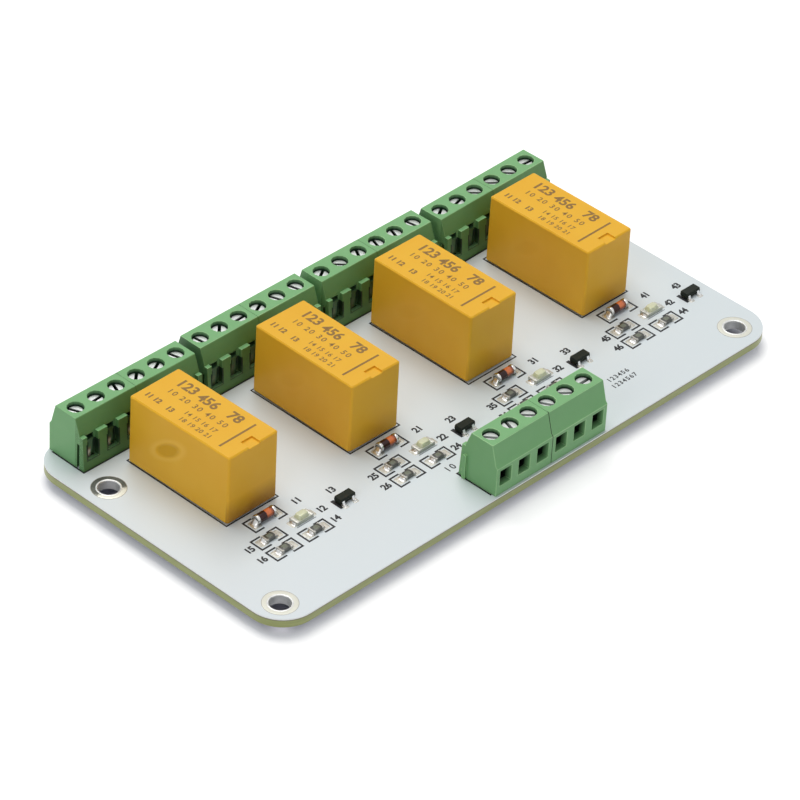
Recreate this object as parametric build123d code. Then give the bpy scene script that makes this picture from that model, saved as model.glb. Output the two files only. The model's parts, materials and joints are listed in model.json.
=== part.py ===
"""Four-channel relay module board, in millimetres, +Z up.

A rounded circuit board carries four sealed two-pole relays, a row of screw terminals for each
relay along the back edge and one row of input terminals at the front edge. Beside each relay sit
a diode, a status light, a transistor and three chip resistors. The board stands on the ends of
the terminal pins, which come through it and stick out below.

The origin is the centre of the board, at the height of the pin tips that it stands on. X runs
along the board, and Y points to the row of output terminals.
"""

import os
from math import atan, degrees

from build123d import *

os.makedirs("parts", exist_ok=True)

# Circuit board
BOARD_LENGTH = 102.4
BOARD_WIDTH = 50.5
BOARD_THICKNESS = 1.4
BOARD_CORNER_RADIUS = 5.4

# Mounting holes, a rectangle of four
HOLE_SPACING_X = 93.6
HOLE_SPACING_Y = 33.9
HOLE_CENTRE_X = -0.5
HOLE_FRONT_INSET = 4.2
HOLE_DIAMETER = 3.2

# Channels
CHANNELS = 4
CHANNEL_PITCH = 24.18

# Round features that repeat many times, such as the screws, are made with this many flats
ROUND_SIDES = 12

# Screw terminals, each block with three poles, two blocks to a row
POLE_PITCH = 3.81
POLES_PER_BLOCK = 3
BLOCKS_PER_ROW = 2
BLOCK_SEAM = 0.06
ROW_EDGE_SETBACK = 0.35
OUTPUT_ROWS_CENTRE_X = 0.2
INPUT_ROW_CENTRE_X = 2.4

# Terminal housing profile: heights above the board, depths from the screws' line,
# positive towards the side where the wires go in
HOUSING_HEIGHT = 8.3
WIRE_FACE_DEPTH = 3.3
COMB_FACE_DEPTH = 3.9
COMB_LEAN = 0.35
COMB_RIB_DEPTH = 0.65
TOP_EDGE_WIRE_SIDE = 2.1
TOP_EDGE_COMB_SIDE = 1.95
LEDGE_HEIGHT = 4.7
LEDGE_RISE = 0.45
LEDGE_DEPTH = 0.35
COMB_HEIGHT = 5.55
COMB_SHOULDER = 0.25

# Openings of one pole
WELL_DIAMETER = 2.5
WINDOW_WIDTH = 2.35
WINDOW_HEIGHT = 2.65
WINDOW_SILL = 1.5
FUNNEL_DEPTH = 0.8
FUNNEL_STEP = 0.25
CAVITY_WIDTH = 2.8
CAVITY_FRONT_WALL = 1.35
CAVITY_BACK_DEPTH = 2.15
CAVITY_HEIGHT = 5.9
COMB_SLOT_WIDTH = 2.05
COMB_SLOT_SILL = 1.65
CONTACT_OPENING_WIDTH = 1.4
CONTACT_OPENING_TOP = 5.3
PIN_CHANNEL_WALL = 0.65

# Dovetail that joins two blocks
DOVETAIL_DEPTH_LINE = 2.66
DOVETAIL_MOUTH = 0.42
DOVETAIL_FLARE = 0.15
DOVETAIL_REACH = 0.4
DOVETAIL_CLEARANCE = 0.04
DOVETAIL_HEIGHT = 4.15

# Clamp cage, screw and contact of one pole
CAGE_CLEARANCE = 0.1
CAGE_LENGTH = 2.4
CAGE_SIDE_WALL = 0.35
CAGE_FLOOR = 0.4
CAGE_NUT = 0.8
CAGE_LIFT = 0.7
CAGE_CEILING_GAP = 0.25
SCREW_CLEARANCE = 0.1
SCREW_RECESS = 0.65
SLOT_WIDTH = 0.5
SLOT_DEPTH = 0.8
CONTACT_THICKNESS = 0.4
CONTACT_WIDTH = 1.2
CONTACT_REACH = 1.3
CONTACT_DROP = 0.25
PIN_WIDTH = 0.8
PIN_COMB_GAP = 0.8
PIN_TAIL = 1.8
PIN_HOLE_CLEARANCE = 0.02

# Screw slots' turns about their axes, in degrees, as the screws were left
SCREW_TURNS = [
    115, 6, 70, 43, 28, 105,
    97, 45, 3, 27, 112, 105,
    31, 135, 60, 72, 70, 100,
    30, 15, 135, 140, 132, 175,
    0, 140, 120, 135, 73, 130,
]

# How far each output row was soldered in out of line: along Y, and turned in degrees
OUTPUT_ROW_SHIFTS = [-0.1, 0.2, 0.05, -0.4]
OUTPUT_ROW_TURNS = [-0.4, 0, 0, 1.2]

# Relays
RELAY_LENGTH = 19.7
RELAY_WIDTH = 9.6
RELAY_HEIGHT = 11.6
RELAYS_CENTRE_X = -0.12
COVER_LIFT = 0.3
COVER_WALL = 0.7
COVER_DRAFT = 0.25
COVER_EDGE_RADIUS = 0.4
COVER_TOP_CHAMFER = 0.2
VENT_WIDTH = 2.1
VENT_LENGTH = 1.7
VENT_DEPTH = 0.3
VENT_OFFSET_X = 0.15
RELAY_SHIFTS = [-0.2, -0.2, 0.05, -0.35]
RELAY_TURNS = [0.7, -0.8, -0.25, 0.25]
RELAY_BASE_GAP = 0.1
RELAY_BASE_HEIGHT = 2.6
RELAY_PIN_END_INSET = 0.96
RELAY_PIN_SIDE_INSET = 0.99
CONTACT_PIN_SPACING = 5.08
RELAY_PIN_WIDTH = 0.5
RELAY_PIN_THICKNESS = 0.3
RELAY_PIN_SEAT = 1.6
RELAY_PIN_TAIL = 1.4
COIL_LENGTH = 13.0
COIL_DIAMETER = 5.6
COIL_FLANGE_WIDTH = 6.6
COIL_FLANGE_THICKNESS = 0.8

# Small parts are soldered on a thin film of solder
SOLDER_FILM = 0.04

# Room for the relays and the small parts between the two sides' terminals: the share of the
# free depth that is left behind the relays
FREE_SHARE_BEHIND = 0.3564

# Diode, lying along X. The small parts' distances are measured from the relays' front ends
DIODE_LENGTH = 3.5
DIODE_DIAMETER = 1.4
DIODE_CAP_LENGTH = 0.45
DIODE_CAP_STEP = 0.04
DIODE_OFFSET_X = 0.15
DIODE_DISTANCE = 2.63

# Status light
LED_LENGTH = 3.2
LED_WIDTH = 1.6
LED_BASE_HEIGHT = 0.5
LED_LENS_LENGTH = 2.0
LED_LENS_WIDTH = 1.4
LED_LENS_HEIGHT = 0.6
LED_LENS_TAPER = 20
LED_OFFSET_X = 4.0
LED_DISTANCE = 6.01

# Transistor, with two leads to the front and one to the back
TRANSISTOR_LENGTH = 2.9
TRANSISTOR_WIDTH = 1.4
TRANSISTOR_HEIGHT = 1.0
TRANSISTOR_TAPER = 6
TRANSISTOR_LEAD_SPACING = 1.9
LEAD_WIDTH = 0.42
LEAD_THICKNESS = 0.14
LEAD_SPAN = 2.5
LEAD_FOOT = 0.4
LEAD_SHOULDER = 0.55
TRANSISTOR_OFFSET_X = 11.4
TRANSISTOR_DISTANCE = 7.06

# Chip resistors
RESISTOR_LENGTH = 2.0
RESISTOR_WIDTH = 1.25
RESISTOR_HEIGHT = 0.5
RESISTOR_CAP_LENGTH = 0.38
RESISTOR_CAP_WALL = 0.03
RESISTOR_OFFSETS_X = [-2.35, -2.45, 3.7]
RESISTOR_DISTANCES = [6.11, 9.21, 9.16]

# Heights and lines that follow from the sizes above
BOARD_BOTTOM = PIN_TAIL
BOARD_TOP = BOARD_BOTTOM + BOARD_THICKNESS
ROW_LINE_Y = BOARD_WIDTH / 2 - ROW_EDGE_SETBACK - WIRE_FACE_DEPTH
COMB_LINE_Y = ROW_LINE_Y - COMB_FACE_DEPTH
HOLE_CENTRE_Y = -BOARD_WIDTH / 2 + HOLE_FRONT_INSET + HOLE_SPACING_Y / 2
SMALL_PARTS_DEPTH = max(RESISTOR_DISTANCES) + RESISTOR_WIDTH / 2
FREE_DEPTH = 2 * COMB_LINE_Y - RELAY_LENGTH - SMALL_PARTS_DEPTH
RELAYS_BACK_Y = COMB_LINE_Y - FREE_SHARE_BEHIND * FREE_DEPTH
RELAYS_FRONT_Y = RELAYS_BACK_Y - RELAY_LENGTH
BLOCK_LENGTH = POLES_PER_BLOCK * POLE_PITCH
COMB_TOP_DEPTH = COMB_FACE_DEPTH - COMB_LEAN
BACK_WALL_DEPTH = COMB_TOP_DEPTH - COMB_RIB_DEPTH
CAVITY_FRONT_DEPTH = WIRE_FACE_DEPTH - CAVITY_FRONT_WALL
CAGE_TOP = CAVITY_HEIGHT - CAGE_CEILING_GAP
CONTACT_TOP = CAGE_TOP - CAGE_NUT - CONTACT_DROP
PIN_BACK_DEPTH = COMB_FACE_DEPTH - PIN_COMB_GAP
PIN_LINE_DEPTH = PIN_BACK_DEPTH - CONTACT_THICKNESS / 2
SEAT_HEIGHT = BOARD_TOP + SOLDER_FILM


def centred(index, count, pitch):
    """Place of one of a number of like things, spread evenly about zero."""
    return (index - (count - 1) / 2) * pitch


def box(x, y, z):
    """Solid box from its lowest and highest value along each axis."""
    size = (x[1] - x[0], y[1] - y[0], z[1] - z[0])
    middle = ((x[0] + x[1]) / 2, (y[0] + y[1]) / 2, (z[0] + z[1]) / 2)
    return Pos(*middle) * Box(*size)


def round_bar(radius, length):
    """Short bar along Z whose many flats stand in for the round of one repeated feature."""
    return extrude(RegularPolygon(radius, ROUND_SIDES), length / 2, both=True)


def round_bore(radius, length):
    """Cutter for a bore with as many flats, which a bar of the same radius still passes."""
    return extrude(RegularPolygon(radius, ROUND_SIDES, major_radius=False), length / 2, both=True)


def save(node, solids):
    """Write one node, a single solid or a group of separate ones."""
    shape = solids[0] if len(solids) == 1 else Compound(children=solids)
    shape.label = node
    export_step(shape, f"parts/{node}.step")


# Places of everything on the board

pole_places = [centred(k, POLES_PER_BLOCK, POLE_PITCH) for k in range(POLES_PER_BLOCK)]
block_places = [centred(k, BLOCKS_PER_ROW, BLOCK_LENGTH) for k in range(BLOCKS_PER_ROW)]
channel_places = [centred(k, CHANNELS, CHANNEL_PITCH) for k in range(CHANNELS)]

# Each row of terminals as a name and the place of its middle on the board's top face
output_rows = {
    f"output_{k + 1}": Pos(OUTPUT_ROWS_CENTRE_X + x, ROW_LINE_Y + shift, BOARD_TOP) * Rot(0, 0, turn)
    for k, (x, shift, turn) in enumerate(zip(channel_places, OUTPUT_ROW_SHIFTS, OUTPUT_ROW_TURNS))
}
input_row = {"input": Pos(INPUT_ROW_CENTRE_X, -ROW_LINE_Y, BOARD_TOP) * Rot(0, 0, 180)}
terminal_rows = output_rows | input_row

relay_line_y = RELAYS_BACK_Y - RELAY_LENGTH / 2
relay_places = [
    Pos(RELAYS_CENTRE_X + x, relay_line_y + shift, BOARD_TOP) * Rot(0, 0, turn)
    for x, shift, turn in zip(channel_places, RELAY_SHIFTS, RELAY_TURNS)
]
end_pin_y = RELAY_LENGTH / 2 - RELAY_PIN_END_INSET
side_pin_x = RELAY_WIDTH / 2 - RELAY_PIN_SIDE_INSET
pin_lines = [-end_pin_y] + [end_pin_y - step * CONTACT_PIN_SPACING for step in (2, 1, 0)]
relay_pin_places = [(side * side_pin_x, y) for side in (-1, 1) for y in pin_lines]
hole_places = [
    Pos(HOLE_CENTRE_X + x * HOLE_SPACING_X / 2, HOLE_CENTRE_Y + y * HOLE_SPACING_Y / 2)
    for x in (-1, 1)
    for y in (-1, 1)
]


def pin_hole(width, depth):
    """Cutter for the passage of one flat pin through the board.

    The round plated hole about the pin is full of solder, so only the pin's own outline is open.
    """
    wide = width + 2 * PIN_HOLE_CLEARANCE
    deep = depth + 2 * PIN_HOLE_CLEARANCE
    return Pos(0, 0, -BOARD_THICKNESS / 2) * Box(wide, deep, BOARD_THICKNESS * 2)


def circuit_board():
    """Panel with rounded corners, drilled for the mounting holes and for every pin."""
    outline = RectangleRounded(BOARD_LENGTH, BOARD_WIDTH, BOARD_CORNER_RADIUS)
    panel = Pos(0, 0, BOARD_BOTTOM) * extrude(outline, BOARD_THICKNESS)
    drill = Pos(0, 0, BOARD_BOTTOM) * Cylinder(HOLE_DIAMETER / 2, BOARD_THICKNESS * 4)
    cutters = [place * drill for place in hole_places]
    terminal_hole = pin_hole(PIN_WIDTH, CONTACT_THICKNESS)
    for row in terminal_rows.values():
        for block in block_places:
            for pole in pole_places:
                cutters.append(row * Pos(block + pole, -PIN_LINE_DEPTH, 0) * terminal_hole)
    relay_hole = pin_hole(RELAY_PIN_THICKNESS, RELAY_PIN_WIDTH)
    for relay in relay_places:
        for x, y in relay_pin_places:
            cutters.append(relay * Pos(x, y, 0) * relay_hole)
    return panel - cutters


# Terminal housing, drawn about its own middle: X along the row, +Y where the wires go in,
# and Z up from the board


def housing_body():
    """The block's outside: sloped flanks up to a narrow top, with the comb's leaning slab behind."""
    ledge_top = LEDGE_HEIGHT + LEDGE_RISE
    profile = Polyline(
        (WIRE_FACE_DEPTH, 0), (WIRE_FACE_DEPTH, LEDGE_HEIGHT),
        (WIRE_FACE_DEPTH - LEDGE_DEPTH, ledge_top), (TOP_EDGE_WIRE_SIDE, HOUSING_HEIGHT),
        (-TOP_EDGE_COMB_SIDE, HOUSING_HEIGHT), (-BACK_WALL_DEPTH, COMB_HEIGHT + COMB_SHOULDER),
        (-BACK_WALL_DEPTH, COMB_HEIGHT), (-COMB_TOP_DEPTH, COMB_HEIGHT), (-COMB_FACE_DEPTH, 0),
        close=True,
    )
    length = BLOCK_LENGTH - BLOCK_SEAM
    return extrude(Plane.YZ * make_face(profile), length / 2, both=True)


def pole_openings():
    """Everything that is cut from the block for one pole."""
    well = Pos(0, 0, HOUSING_HEIGHT) * round_bore(
        WELL_DIAMETER / 2, 2 * (HOUSING_HEIGHT - CAVITY_HEIGHT + CAGE_CEILING_GAP)
    )
    half_cavity = CAVITY_WIDTH / 2
    cavity = box(
        (-half_cavity, half_cavity), (-CAVITY_BACK_DEPTH, CAVITY_FRONT_DEPTH), (-1, CAVITY_HEIGHT)
    )
    window_middle = WINDOW_SILL + WINDOW_HEIGHT / 2
    mouth = Plane((0, WIRE_FACE_DEPTH, window_middle), x_dir=(1, 0, 0), z_dir=(0, -1, 0))
    throat_width = WINDOW_WIDTH - 2 * FUNNEL_STEP
    throat_height = WINDOW_HEIGHT - 2 * FUNNEL_STEP
    flare = degrees(atan(FUNNEL_STEP / FUNNEL_DEPTH))
    funnel = extrude(mouth * Rectangle(WINDOW_WIDTH, WINDOW_HEIGHT), FUNNEL_DEPTH, taper=flare)
    throat = extrude(
        mouth.offset(FUNNEL_DEPTH) * Rectangle(throat_width, throat_height),
        WIRE_FACE_DEPTH - FUNNEL_DEPTH,
    )
    half_slot = COMB_SLOT_WIDTH / 2
    comb_slot = box(
        (-half_slot, half_slot),
        (-COMB_FACE_DEPTH - 1, -BACK_WALL_DEPTH),
        (COMB_SLOT_SILL, COMB_HEIGHT),
    )
    half_opening = CONTACT_OPENING_WIDTH / 2
    opening = box(
        (-half_opening, half_opening),
        (-BACK_WALL_DEPTH, -CAVITY_BACK_DEPTH),
        (COMB_SLOT_SILL, CONTACT_OPENING_TOP),
    )
    channel = box(
        (-half_opening, half_opening),
        (-COMB_FACE_DEPTH + PIN_CHANNEL_WALL, -CAVITY_BACK_DEPTH),
        (-1, COMB_SLOT_SILL),
    )
    return [well, cavity, funnel, throat, comb_slot, opening, channel]


def dovetail(clearance, reach):
    """Rail of the joint between two blocks, widening away from the block that it grows from."""
    mouth = DOVETAIL_MOUTH / 2 + clearance
    wide = mouth + DOVETAIL_FLARE
    line = -DOVETAIL_DEPTH_LINE
    profile = Polyline(
        (0, line - mouth), (reach, line - wide), (reach, line + wide), (0, line + mouth), close=True
    )
    return extrude(make_face(profile), DOVETAIL_HEIGHT + clearance)


def terminal_housing():
    """Moulded three-pole block: wells, wire funnels, comb, and a dovetail rail and groove."""
    end = (BLOCK_LENGTH - BLOCK_SEAM) / 2
    rail = Pos(end, 0, 0) * dovetail(0, DOVETAIL_REACH)
    groove = Pos(-end, 0, 0) * dovetail(DOVETAIL_CLEARANCE, DOVETAIL_REACH + DOVETAIL_CLEARANCE)
    openings = [Pos(x, 0, 0) * cutter for x in pole_places for cutter in pole_openings()]
    return housing_body() + rail - groove - openings


def terminal_screw(turn):
    """Slotted clamping screw, from its head in the well down to the clamp's nut."""
    top = HOUSING_HEIGHT - SCREW_RECESS
    radius = WELL_DIAMETER / 2 - SCREW_CLEARANCE
    height = top - CAGE_TOP
    barrel = Pos(0, 0, CAGE_TOP + height / 2) * round_bar(radius, height)
    slot = Pos(0, 0, top) * Box(WELL_DIAMETER, SLOT_WIDTH, 2 * SLOT_DEPTH)
    return barrel - Rot(0, 0, turn) * slot


def clamp_cage():
    """Box-shaped wire clamp, open along the wire, which the screw draws up to the contact."""
    width = CAVITY_WIDTH - 2 * CAGE_CLEARANCE
    outer = box((-width / 2, width / 2), (-CAGE_LENGTH / 2, CAGE_LENGTH / 2), (CAGE_LIFT, CAGE_TOP))
    inside = width / 2 - CAGE_SIDE_WALL
    passage = box(
        (-inside, inside), (-CAGE_LENGTH, CAGE_LENGTH), (CAGE_LIFT + CAGE_FLOOR, CAGE_TOP - CAGE_NUT)
    )
    return outer - passage


def terminal_contact():
    """Bent strip: a plate inside the cage, then a pin down through the board to the floor."""
    half = CONTACT_WIDTH / 2
    plate = box(
        (-half, half),
        (-PIN_BACK_DEPTH, CONTACT_REACH),
        (CONTACT_TOP - CONTACT_THICKNESS, CONTACT_TOP),
    )
    pin = box(
        (-PIN_WIDTH / 2, PIN_WIDTH / 2),
        (-PIN_BACK_DEPTH, -PIN_BACK_DEPTH + CONTACT_THICKNESS),
        (-BOARD_TOP, CONTACT_TOP),
    )
    return plate + pin


# Relay, drawn about its own middle, with Z up from the board


def relay_cover():
    """Deep-drawn lid of the relay: a thin shell, open below, with a vent recess at its front end."""
    height = RELAY_HEIGHT - COVER_LIFT
    foot = Pos(0, 0, COVER_LIFT)
    outside = extrude(foot * Rectangle(RELAY_WIDTH, RELAY_LENGTH), height, taper=COVER_DRAFT)
    upright = outside.edges().filter_by(lambda edge: edge.tangent_at(0).Z ** 2 > 0.5)
    outside = fillet(upright, COVER_EDGE_RADIUS)
    outside = chamfer(outside.faces().sort_by(Axis.Z)[-1].edges(), COVER_TOP_CHAMFER)
    opening = Rectangle(RELAY_WIDTH - 2 * COVER_WALL, RELAY_LENGTH - 2 * COVER_WALL)
    inside = extrude(foot * opening, height - COVER_WALL, taper=COVER_DRAFT)
    vent = Pos(VENT_OFFSET_X, -RELAY_LENGTH / 2, RELAY_HEIGHT) * Box(
        VENT_WIDTH, 2 * VENT_LENGTH, 2 * VENT_DEPTH
    )
    return outside - inside - vent


def relay_pin():
    """One flat pin, from its seat in the relay's base to its tail below the board."""
    return box(
        (-RELAY_PIN_THICKNESS / 2, RELAY_PIN_THICKNESS / 2),
        (-RELAY_PIN_WIDTH / 2, RELAY_PIN_WIDTH / 2),
        (-BOARD_THICKNESS - RELAY_PIN_TAIL, RELAY_PIN_SEAT),
    )


def relay_base():
    """Moulded base that closes the cover from below and holds the eight pins."""
    wall = COVER_WALL + RELAY_BASE_GAP
    width = RELAY_WIDTH - 2 * wall
    length = RELAY_LENGTH - 2 * wall
    plate = extrude(Rectangle(width, length), RELAY_BASE_HEIGHT, taper=COVER_DRAFT)
    sockets = [
        Pos(x, y, 0) * box(
            (-RELAY_PIN_THICKNESS / 2, RELAY_PIN_THICKNESS / 2),
            (-RELAY_PIN_WIDTH / 2, RELAY_PIN_WIDTH / 2),
            (-1, RELAY_PIN_SEAT),
        )
        for x, y in relay_pin_places
    ]
    return plate - sockets


def relay_coil():
    """Wound bobbin with square flanges that lies along the relay, on the base."""
    middle = RELAY_BASE_HEIGHT + COIL_FLANGE_WIDTH / 2
    winding = Pos(0, 0, middle) * Rot(90, 0, 0) * round_bar(COIL_DIAMETER / 2, COIL_LENGTH)
    flange = Pos(0, 0, middle) * Box(COIL_FLANGE_WIDTH, COIL_FLANGE_THICKNESS, COIL_FLANGE_WIDTH)
    reach = (COIL_LENGTH - COIL_FLANGE_THICKNESS) / 2
    return winding + Pos(0, -reach, 0) * flange + Pos(0, reach, 0) * flange


# Small parts, each drawn about its own middle on its solder film


def diode_glass():
    """Glass tube of the diode."""
    radius = DIODE_DIAMETER / 2
    length = DIODE_LENGTH - 2 * DIODE_CAP_LENGTH
    return Pos(0, 0, radius + DIODE_CAP_STEP) * Rot(0, 90, 0) * round_bar(radius, length)


def diode_caps():
    """Plated caps on the two ends of the diode."""
    radius = DIODE_DIAMETER / 2 + DIODE_CAP_STEP
    cap = Pos(0, 0, radius) * Rot(0, 90, 0) * round_bar(radius, DIODE_CAP_LENGTH)
    middle = (DIODE_LENGTH - DIODE_CAP_LENGTH) / 2
    return [Pos(side * middle, 0, 0) * cap for side in (-1, 1)]


def led_base():
    """Flat carrier of the status light."""
    return extrude(Rectangle(LED_LENGTH, LED_WIDTH), LED_BASE_HEIGHT)


def led_lens():
    """Clear moulded lens on the carrier."""
    foot = Pos(0, 0, LED_BASE_HEIGHT) * Rectangle(LED_LENS_LENGTH, LED_LENS_WIDTH)
    return extrude(foot, LED_LENS_HEIGHT, taper=LED_LENS_TAPER)


def transistor_body():
    """Moulded body, tapered up and down from the plane of its leads."""
    outline = Pos(0, 0, LEAD_SHOULDER) * Rectangle(TRANSISTOR_LENGTH, TRANSISTOR_WIDTH)
    upper = extrude(outline, TRANSISTOR_HEIGHT - LEAD_SHOULDER, taper=TRANSISTOR_TAPER)
    lower = extrude(outline, -LEAD_SHOULDER + LEAD_THICKNESS, taper=TRANSISTOR_TAPER)
    return upper + lower


def transistor_lead():
    """Gull-wing lead that leaves the body's front side."""
    near = TRANSISTOR_WIDTH / 2
    far = LEAD_SPAN / 2
    heel = far - LEAD_FOOT
    top = LEAD_SHOULDER + LEAD_THICKNESS / 2
    under = LEAD_SHOULDER - LEAD_THICKNESS / 2
    profile = Polyline(
        (-near, under), (-near, top), (-heel, LEAD_THICKNESS), (-far, LEAD_THICKNESS),
        (-far, 0), (-heel + LEAD_THICKNESS, 0), close=True,
    )
    return extrude(Plane.YZ * make_face(profile), LEAD_WIDTH / 2, both=True)


def transistor_leads():
    """Two leads at the front and one at the back."""
    lead = transistor_lead()
    step = TRANSISTOR_LEAD_SPACING / 2
    return [Pos(-step, 0, 0) * lead, Pos(step, 0, 0) * lead, Rot(0, 0, 180) * lead]


def resistor_body():
    """Ceramic chip with its dark coating, between the two end caps."""
    size = (RESISTOR_LENGTH - 2 * RESISTOR_CAP_LENGTH) / 2
    return box((-size, size), (-RESISTOR_WIDTH / 2, RESISTOR_WIDTH / 2), (0, RESISTOR_HEIGHT))


def resistor_caps():
    """Tinned ends, which wrap the chip and stand a little proud of it."""
    wide = RESISTOR_WIDTH / 2 + RESISTOR_CAP_WALL
    half = RESISTOR_LENGTH / 2
    inner = half - RESISTOR_CAP_LENGTH
    return [
        box(sorted((side * inner, side * half)), (-wide, wide), (0, RESISTOR_HEIGHT + RESISTOR_CAP_WALL))
        for side in (-1, 1)
    ]


# Board
save("circuit_board", [circuit_board()])

# Terminal rows
housing = terminal_housing()
cage = clamp_cage()
contact = terminal_contact()
turn_number = 0
for name, row in terminal_rows.items():
    for side, block in zip(("left", "right"), block_places):
        save(f"{name}_{side}_housing", [row * Pos(block, 0, 0) * housing])
    poles = [row * Pos(block + pole, 0, 0) for block in block_places for pole in pole_places]
    screws = []
    for pole in poles:
        screws.append(pole * terminal_screw(SCREW_TURNS[turn_number % len(SCREW_TURNS)]))
        turn_number += 1
    save(f"{name}_screws", screws)
    save(f"{name}_clamps", [pole * cage for pole in poles])
    save(f"{name}_contacts", [pole * contact for pole in poles])

# Relays
cover = relay_cover()
base = relay_base()
pin = relay_pin()
for number, relay in enumerate(relay_places, start=1):
    save(f"relay_{number}_cover", [relay * cover])
    save(f"relay_{number}_base", [relay * base])
    save(f"relay_{number}_pins", [relay * Pos(x, y, 0) * pin for x, y in relay_pin_places])
save("relay_coils", [relay * relay_coil() for relay in relay_places])

# Small parts of each channel
diode_ends = []
lenses = []
leads = []
resistor_ends = []
for number, x in enumerate(channel_places, start=1):
    channel = Pos(RELAYS_CENTRE_X + x, RELAYS_FRONT_Y, SEAT_HEIGHT)
    diode = channel * Pos(DIODE_OFFSET_X, -DIODE_DISTANCE, 0)
    save(f"diode_{number}", [diode * diode_glass()])
    diode_ends += [diode * cap for cap in diode_caps()]
    light = channel * Pos(LED_OFFSET_X, -LED_DISTANCE, 0)
    save(f"led_{number}", [light * led_base()])
    lenses.append(light * led_lens())
    transistor = channel * Pos(TRANSISTOR_OFFSET_X, -TRANSISTOR_DISTANCE, 0)
    save(f"transistor_{number}", [transistor * transistor_body()])
    leads += [transistor * lead for lead in transistor_leads()]
    resistor_spots = zip(RESISTOR_OFFSETS_X, RESISTOR_DISTANCES)
    resistors = [channel * Pos(offset, -distance, 0) for offset, distance in resistor_spots]
    save(f"channel_{number}_resistors", [place * resistor_body() for place in resistors])
    resistor_ends += [place * cap for place in resistors for cap in resistor_caps()]
save("diode_end_caps", diode_ends)
save("led_lenses", lenses)
save("transistor_leads", leads)
save("resistor_end_caps", resistor_ends)
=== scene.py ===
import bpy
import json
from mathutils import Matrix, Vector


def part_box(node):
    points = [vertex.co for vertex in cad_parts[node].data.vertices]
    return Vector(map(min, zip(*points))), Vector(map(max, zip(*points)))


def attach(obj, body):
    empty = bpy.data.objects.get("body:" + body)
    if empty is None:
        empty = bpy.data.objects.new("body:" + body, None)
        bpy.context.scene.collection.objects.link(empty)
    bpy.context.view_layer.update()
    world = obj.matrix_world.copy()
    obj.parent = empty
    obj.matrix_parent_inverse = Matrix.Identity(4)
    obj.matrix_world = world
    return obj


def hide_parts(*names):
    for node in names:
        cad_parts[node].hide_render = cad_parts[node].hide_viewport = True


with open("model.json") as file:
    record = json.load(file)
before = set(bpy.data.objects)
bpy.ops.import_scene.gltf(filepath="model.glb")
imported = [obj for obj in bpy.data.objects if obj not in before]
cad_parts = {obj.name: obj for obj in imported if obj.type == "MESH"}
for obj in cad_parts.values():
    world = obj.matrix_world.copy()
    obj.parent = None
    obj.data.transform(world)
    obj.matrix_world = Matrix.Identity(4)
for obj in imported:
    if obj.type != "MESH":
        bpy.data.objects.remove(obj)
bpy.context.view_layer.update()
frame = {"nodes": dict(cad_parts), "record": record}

import json
from math import cos, pi, radians, sin

import bpy
import bmesh
import numpy as np
from mathutils import Matrix, Vector

# Camera.
# It stands where the photograph was taken from: far off with a long lens, left of the front edge,
# looking down at the board and turned a little about its own axis.

camera_azimuth = radians(-47.781)
camera_elevation = radians(37.077)
camera_roll = radians(3.380)
camera_distance = 0.670
camera_target = Vector((-0.00282, -0.00030, 0.0032))
photo_pixels = 800
focal_length_pixels = 4689.4

camera_data = bpy.data.cameras.new("photograph_camera")
camera_data.sensor_width = 36
camera_data.lens = focal_length_pixels * camera_data.sensor_width / photo_pixels
camera_data.clip_start = 0.01
camera_data.clip_end = 20
back = Vector((
    sin(camera_azimuth) * cos(camera_elevation),
    -cos(camera_azimuth) * cos(camera_elevation),
    sin(camera_elevation),
))
level_right = Vector((cos(camera_azimuth), sin(camera_azimuth), 0))
level_up = back.cross(level_right)
right = level_right * cos(camera_roll) + level_up * sin(camera_roll)
up = level_up * cos(camera_roll) - level_right * sin(camera_roll)
camera = bpy.data.objects.new("photograph_camera", camera_data)
bpy.context.scene.collection.objects.link(camera)
camera.matrix_world = Matrix.Translation(camera_target + back * camera_distance) @ Matrix(
    (right, up, back)
).transposed().to_4x4()
bpy.context.scene.camera = camera

# Circuit board.
# A glass-fibre laminate 1.4 mm thick, routed to a rounded outline. Both faces have a satin white
# solder mask, and the cut edge shows the khaki laminate with its layers of glass.

board_low, board_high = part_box("circuit_board")
board_top = board_high.z * 1000
board_bottom = board_low.z * 1000
mask_white = (0.715, 0.762, 0.785, 1)
mask_cool = (0.66, 0.735, 0.755, 1)
# Pale rim at the top of the edge: the mask's own white with a painted highlight.
mask_rim_and_highlight = (0.92, 0.92, 0.90, 1)
rim_depths = (0.21, 0.13)
laminate_khaki = (0.25, 0.285, 0.075, 1)
laminate_fibre = (0.41, 0.44, 0.17, 1)
fibre_scale = (190.0, 190.0, 2600.0)
# A thin dark line on the edge below the rim.
edge_dark_line = (0.10, 0.085, 0.08, 1)
edge_dark_depths = (0.40, 0.24)
edge_dark_strength = 0.75


def add_node(tree, kind, inputs=None, **settings):
    """New node of a material or group, with its settings. Each input is given as a plain value, or
    as the output of another node, which is linked to it."""
    node = tree.nodes.new(kind)
    for name, value in settings.items():
        setattr(node, name, value)
    for socket, value in (inputs or {}).items():
        if isinstance(value, bpy.types.NodeSocket):
            tree.links.new(value, node.inputs[socket])
        else:
            node.inputs[socket].default_value = value
    return node


def calc(tree, operation, *values):
    """Output of a Math node whose values are numbers or outputs of other nodes."""
    node = add_node(tree, "ShaderNodeMath", dict(enumerate(values)), operation=operation)
    return node.outputs["Value"]


def ramp(tree, value, start, end, low=0.0, high=1.0, kind="LINEAR"):
    """Value mapped from the span between start and end to the span between low and high, evenly or
    with soft ends: low + (high - low) (value - start) / (end - start), kept between low and high."""
    return add_node(tree, "ShaderNodeMapRange", {
        "Value": value, "From Min": start, "From Max": end, "To Min": low, "To Max": high,
    }, interpolation_type=kind).outputs["Result"]


def noise(tree, place, scale, detail, roughness=0.5):
    """Soft noise between 0 and 1 at a place."""
    return add_node(tree, "ShaderNodeTexNoise", {
        "Vector": place, "Scale": scale, "Detail": detail, "Roughness": roughness,
    }).outputs["Fac"]


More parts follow.
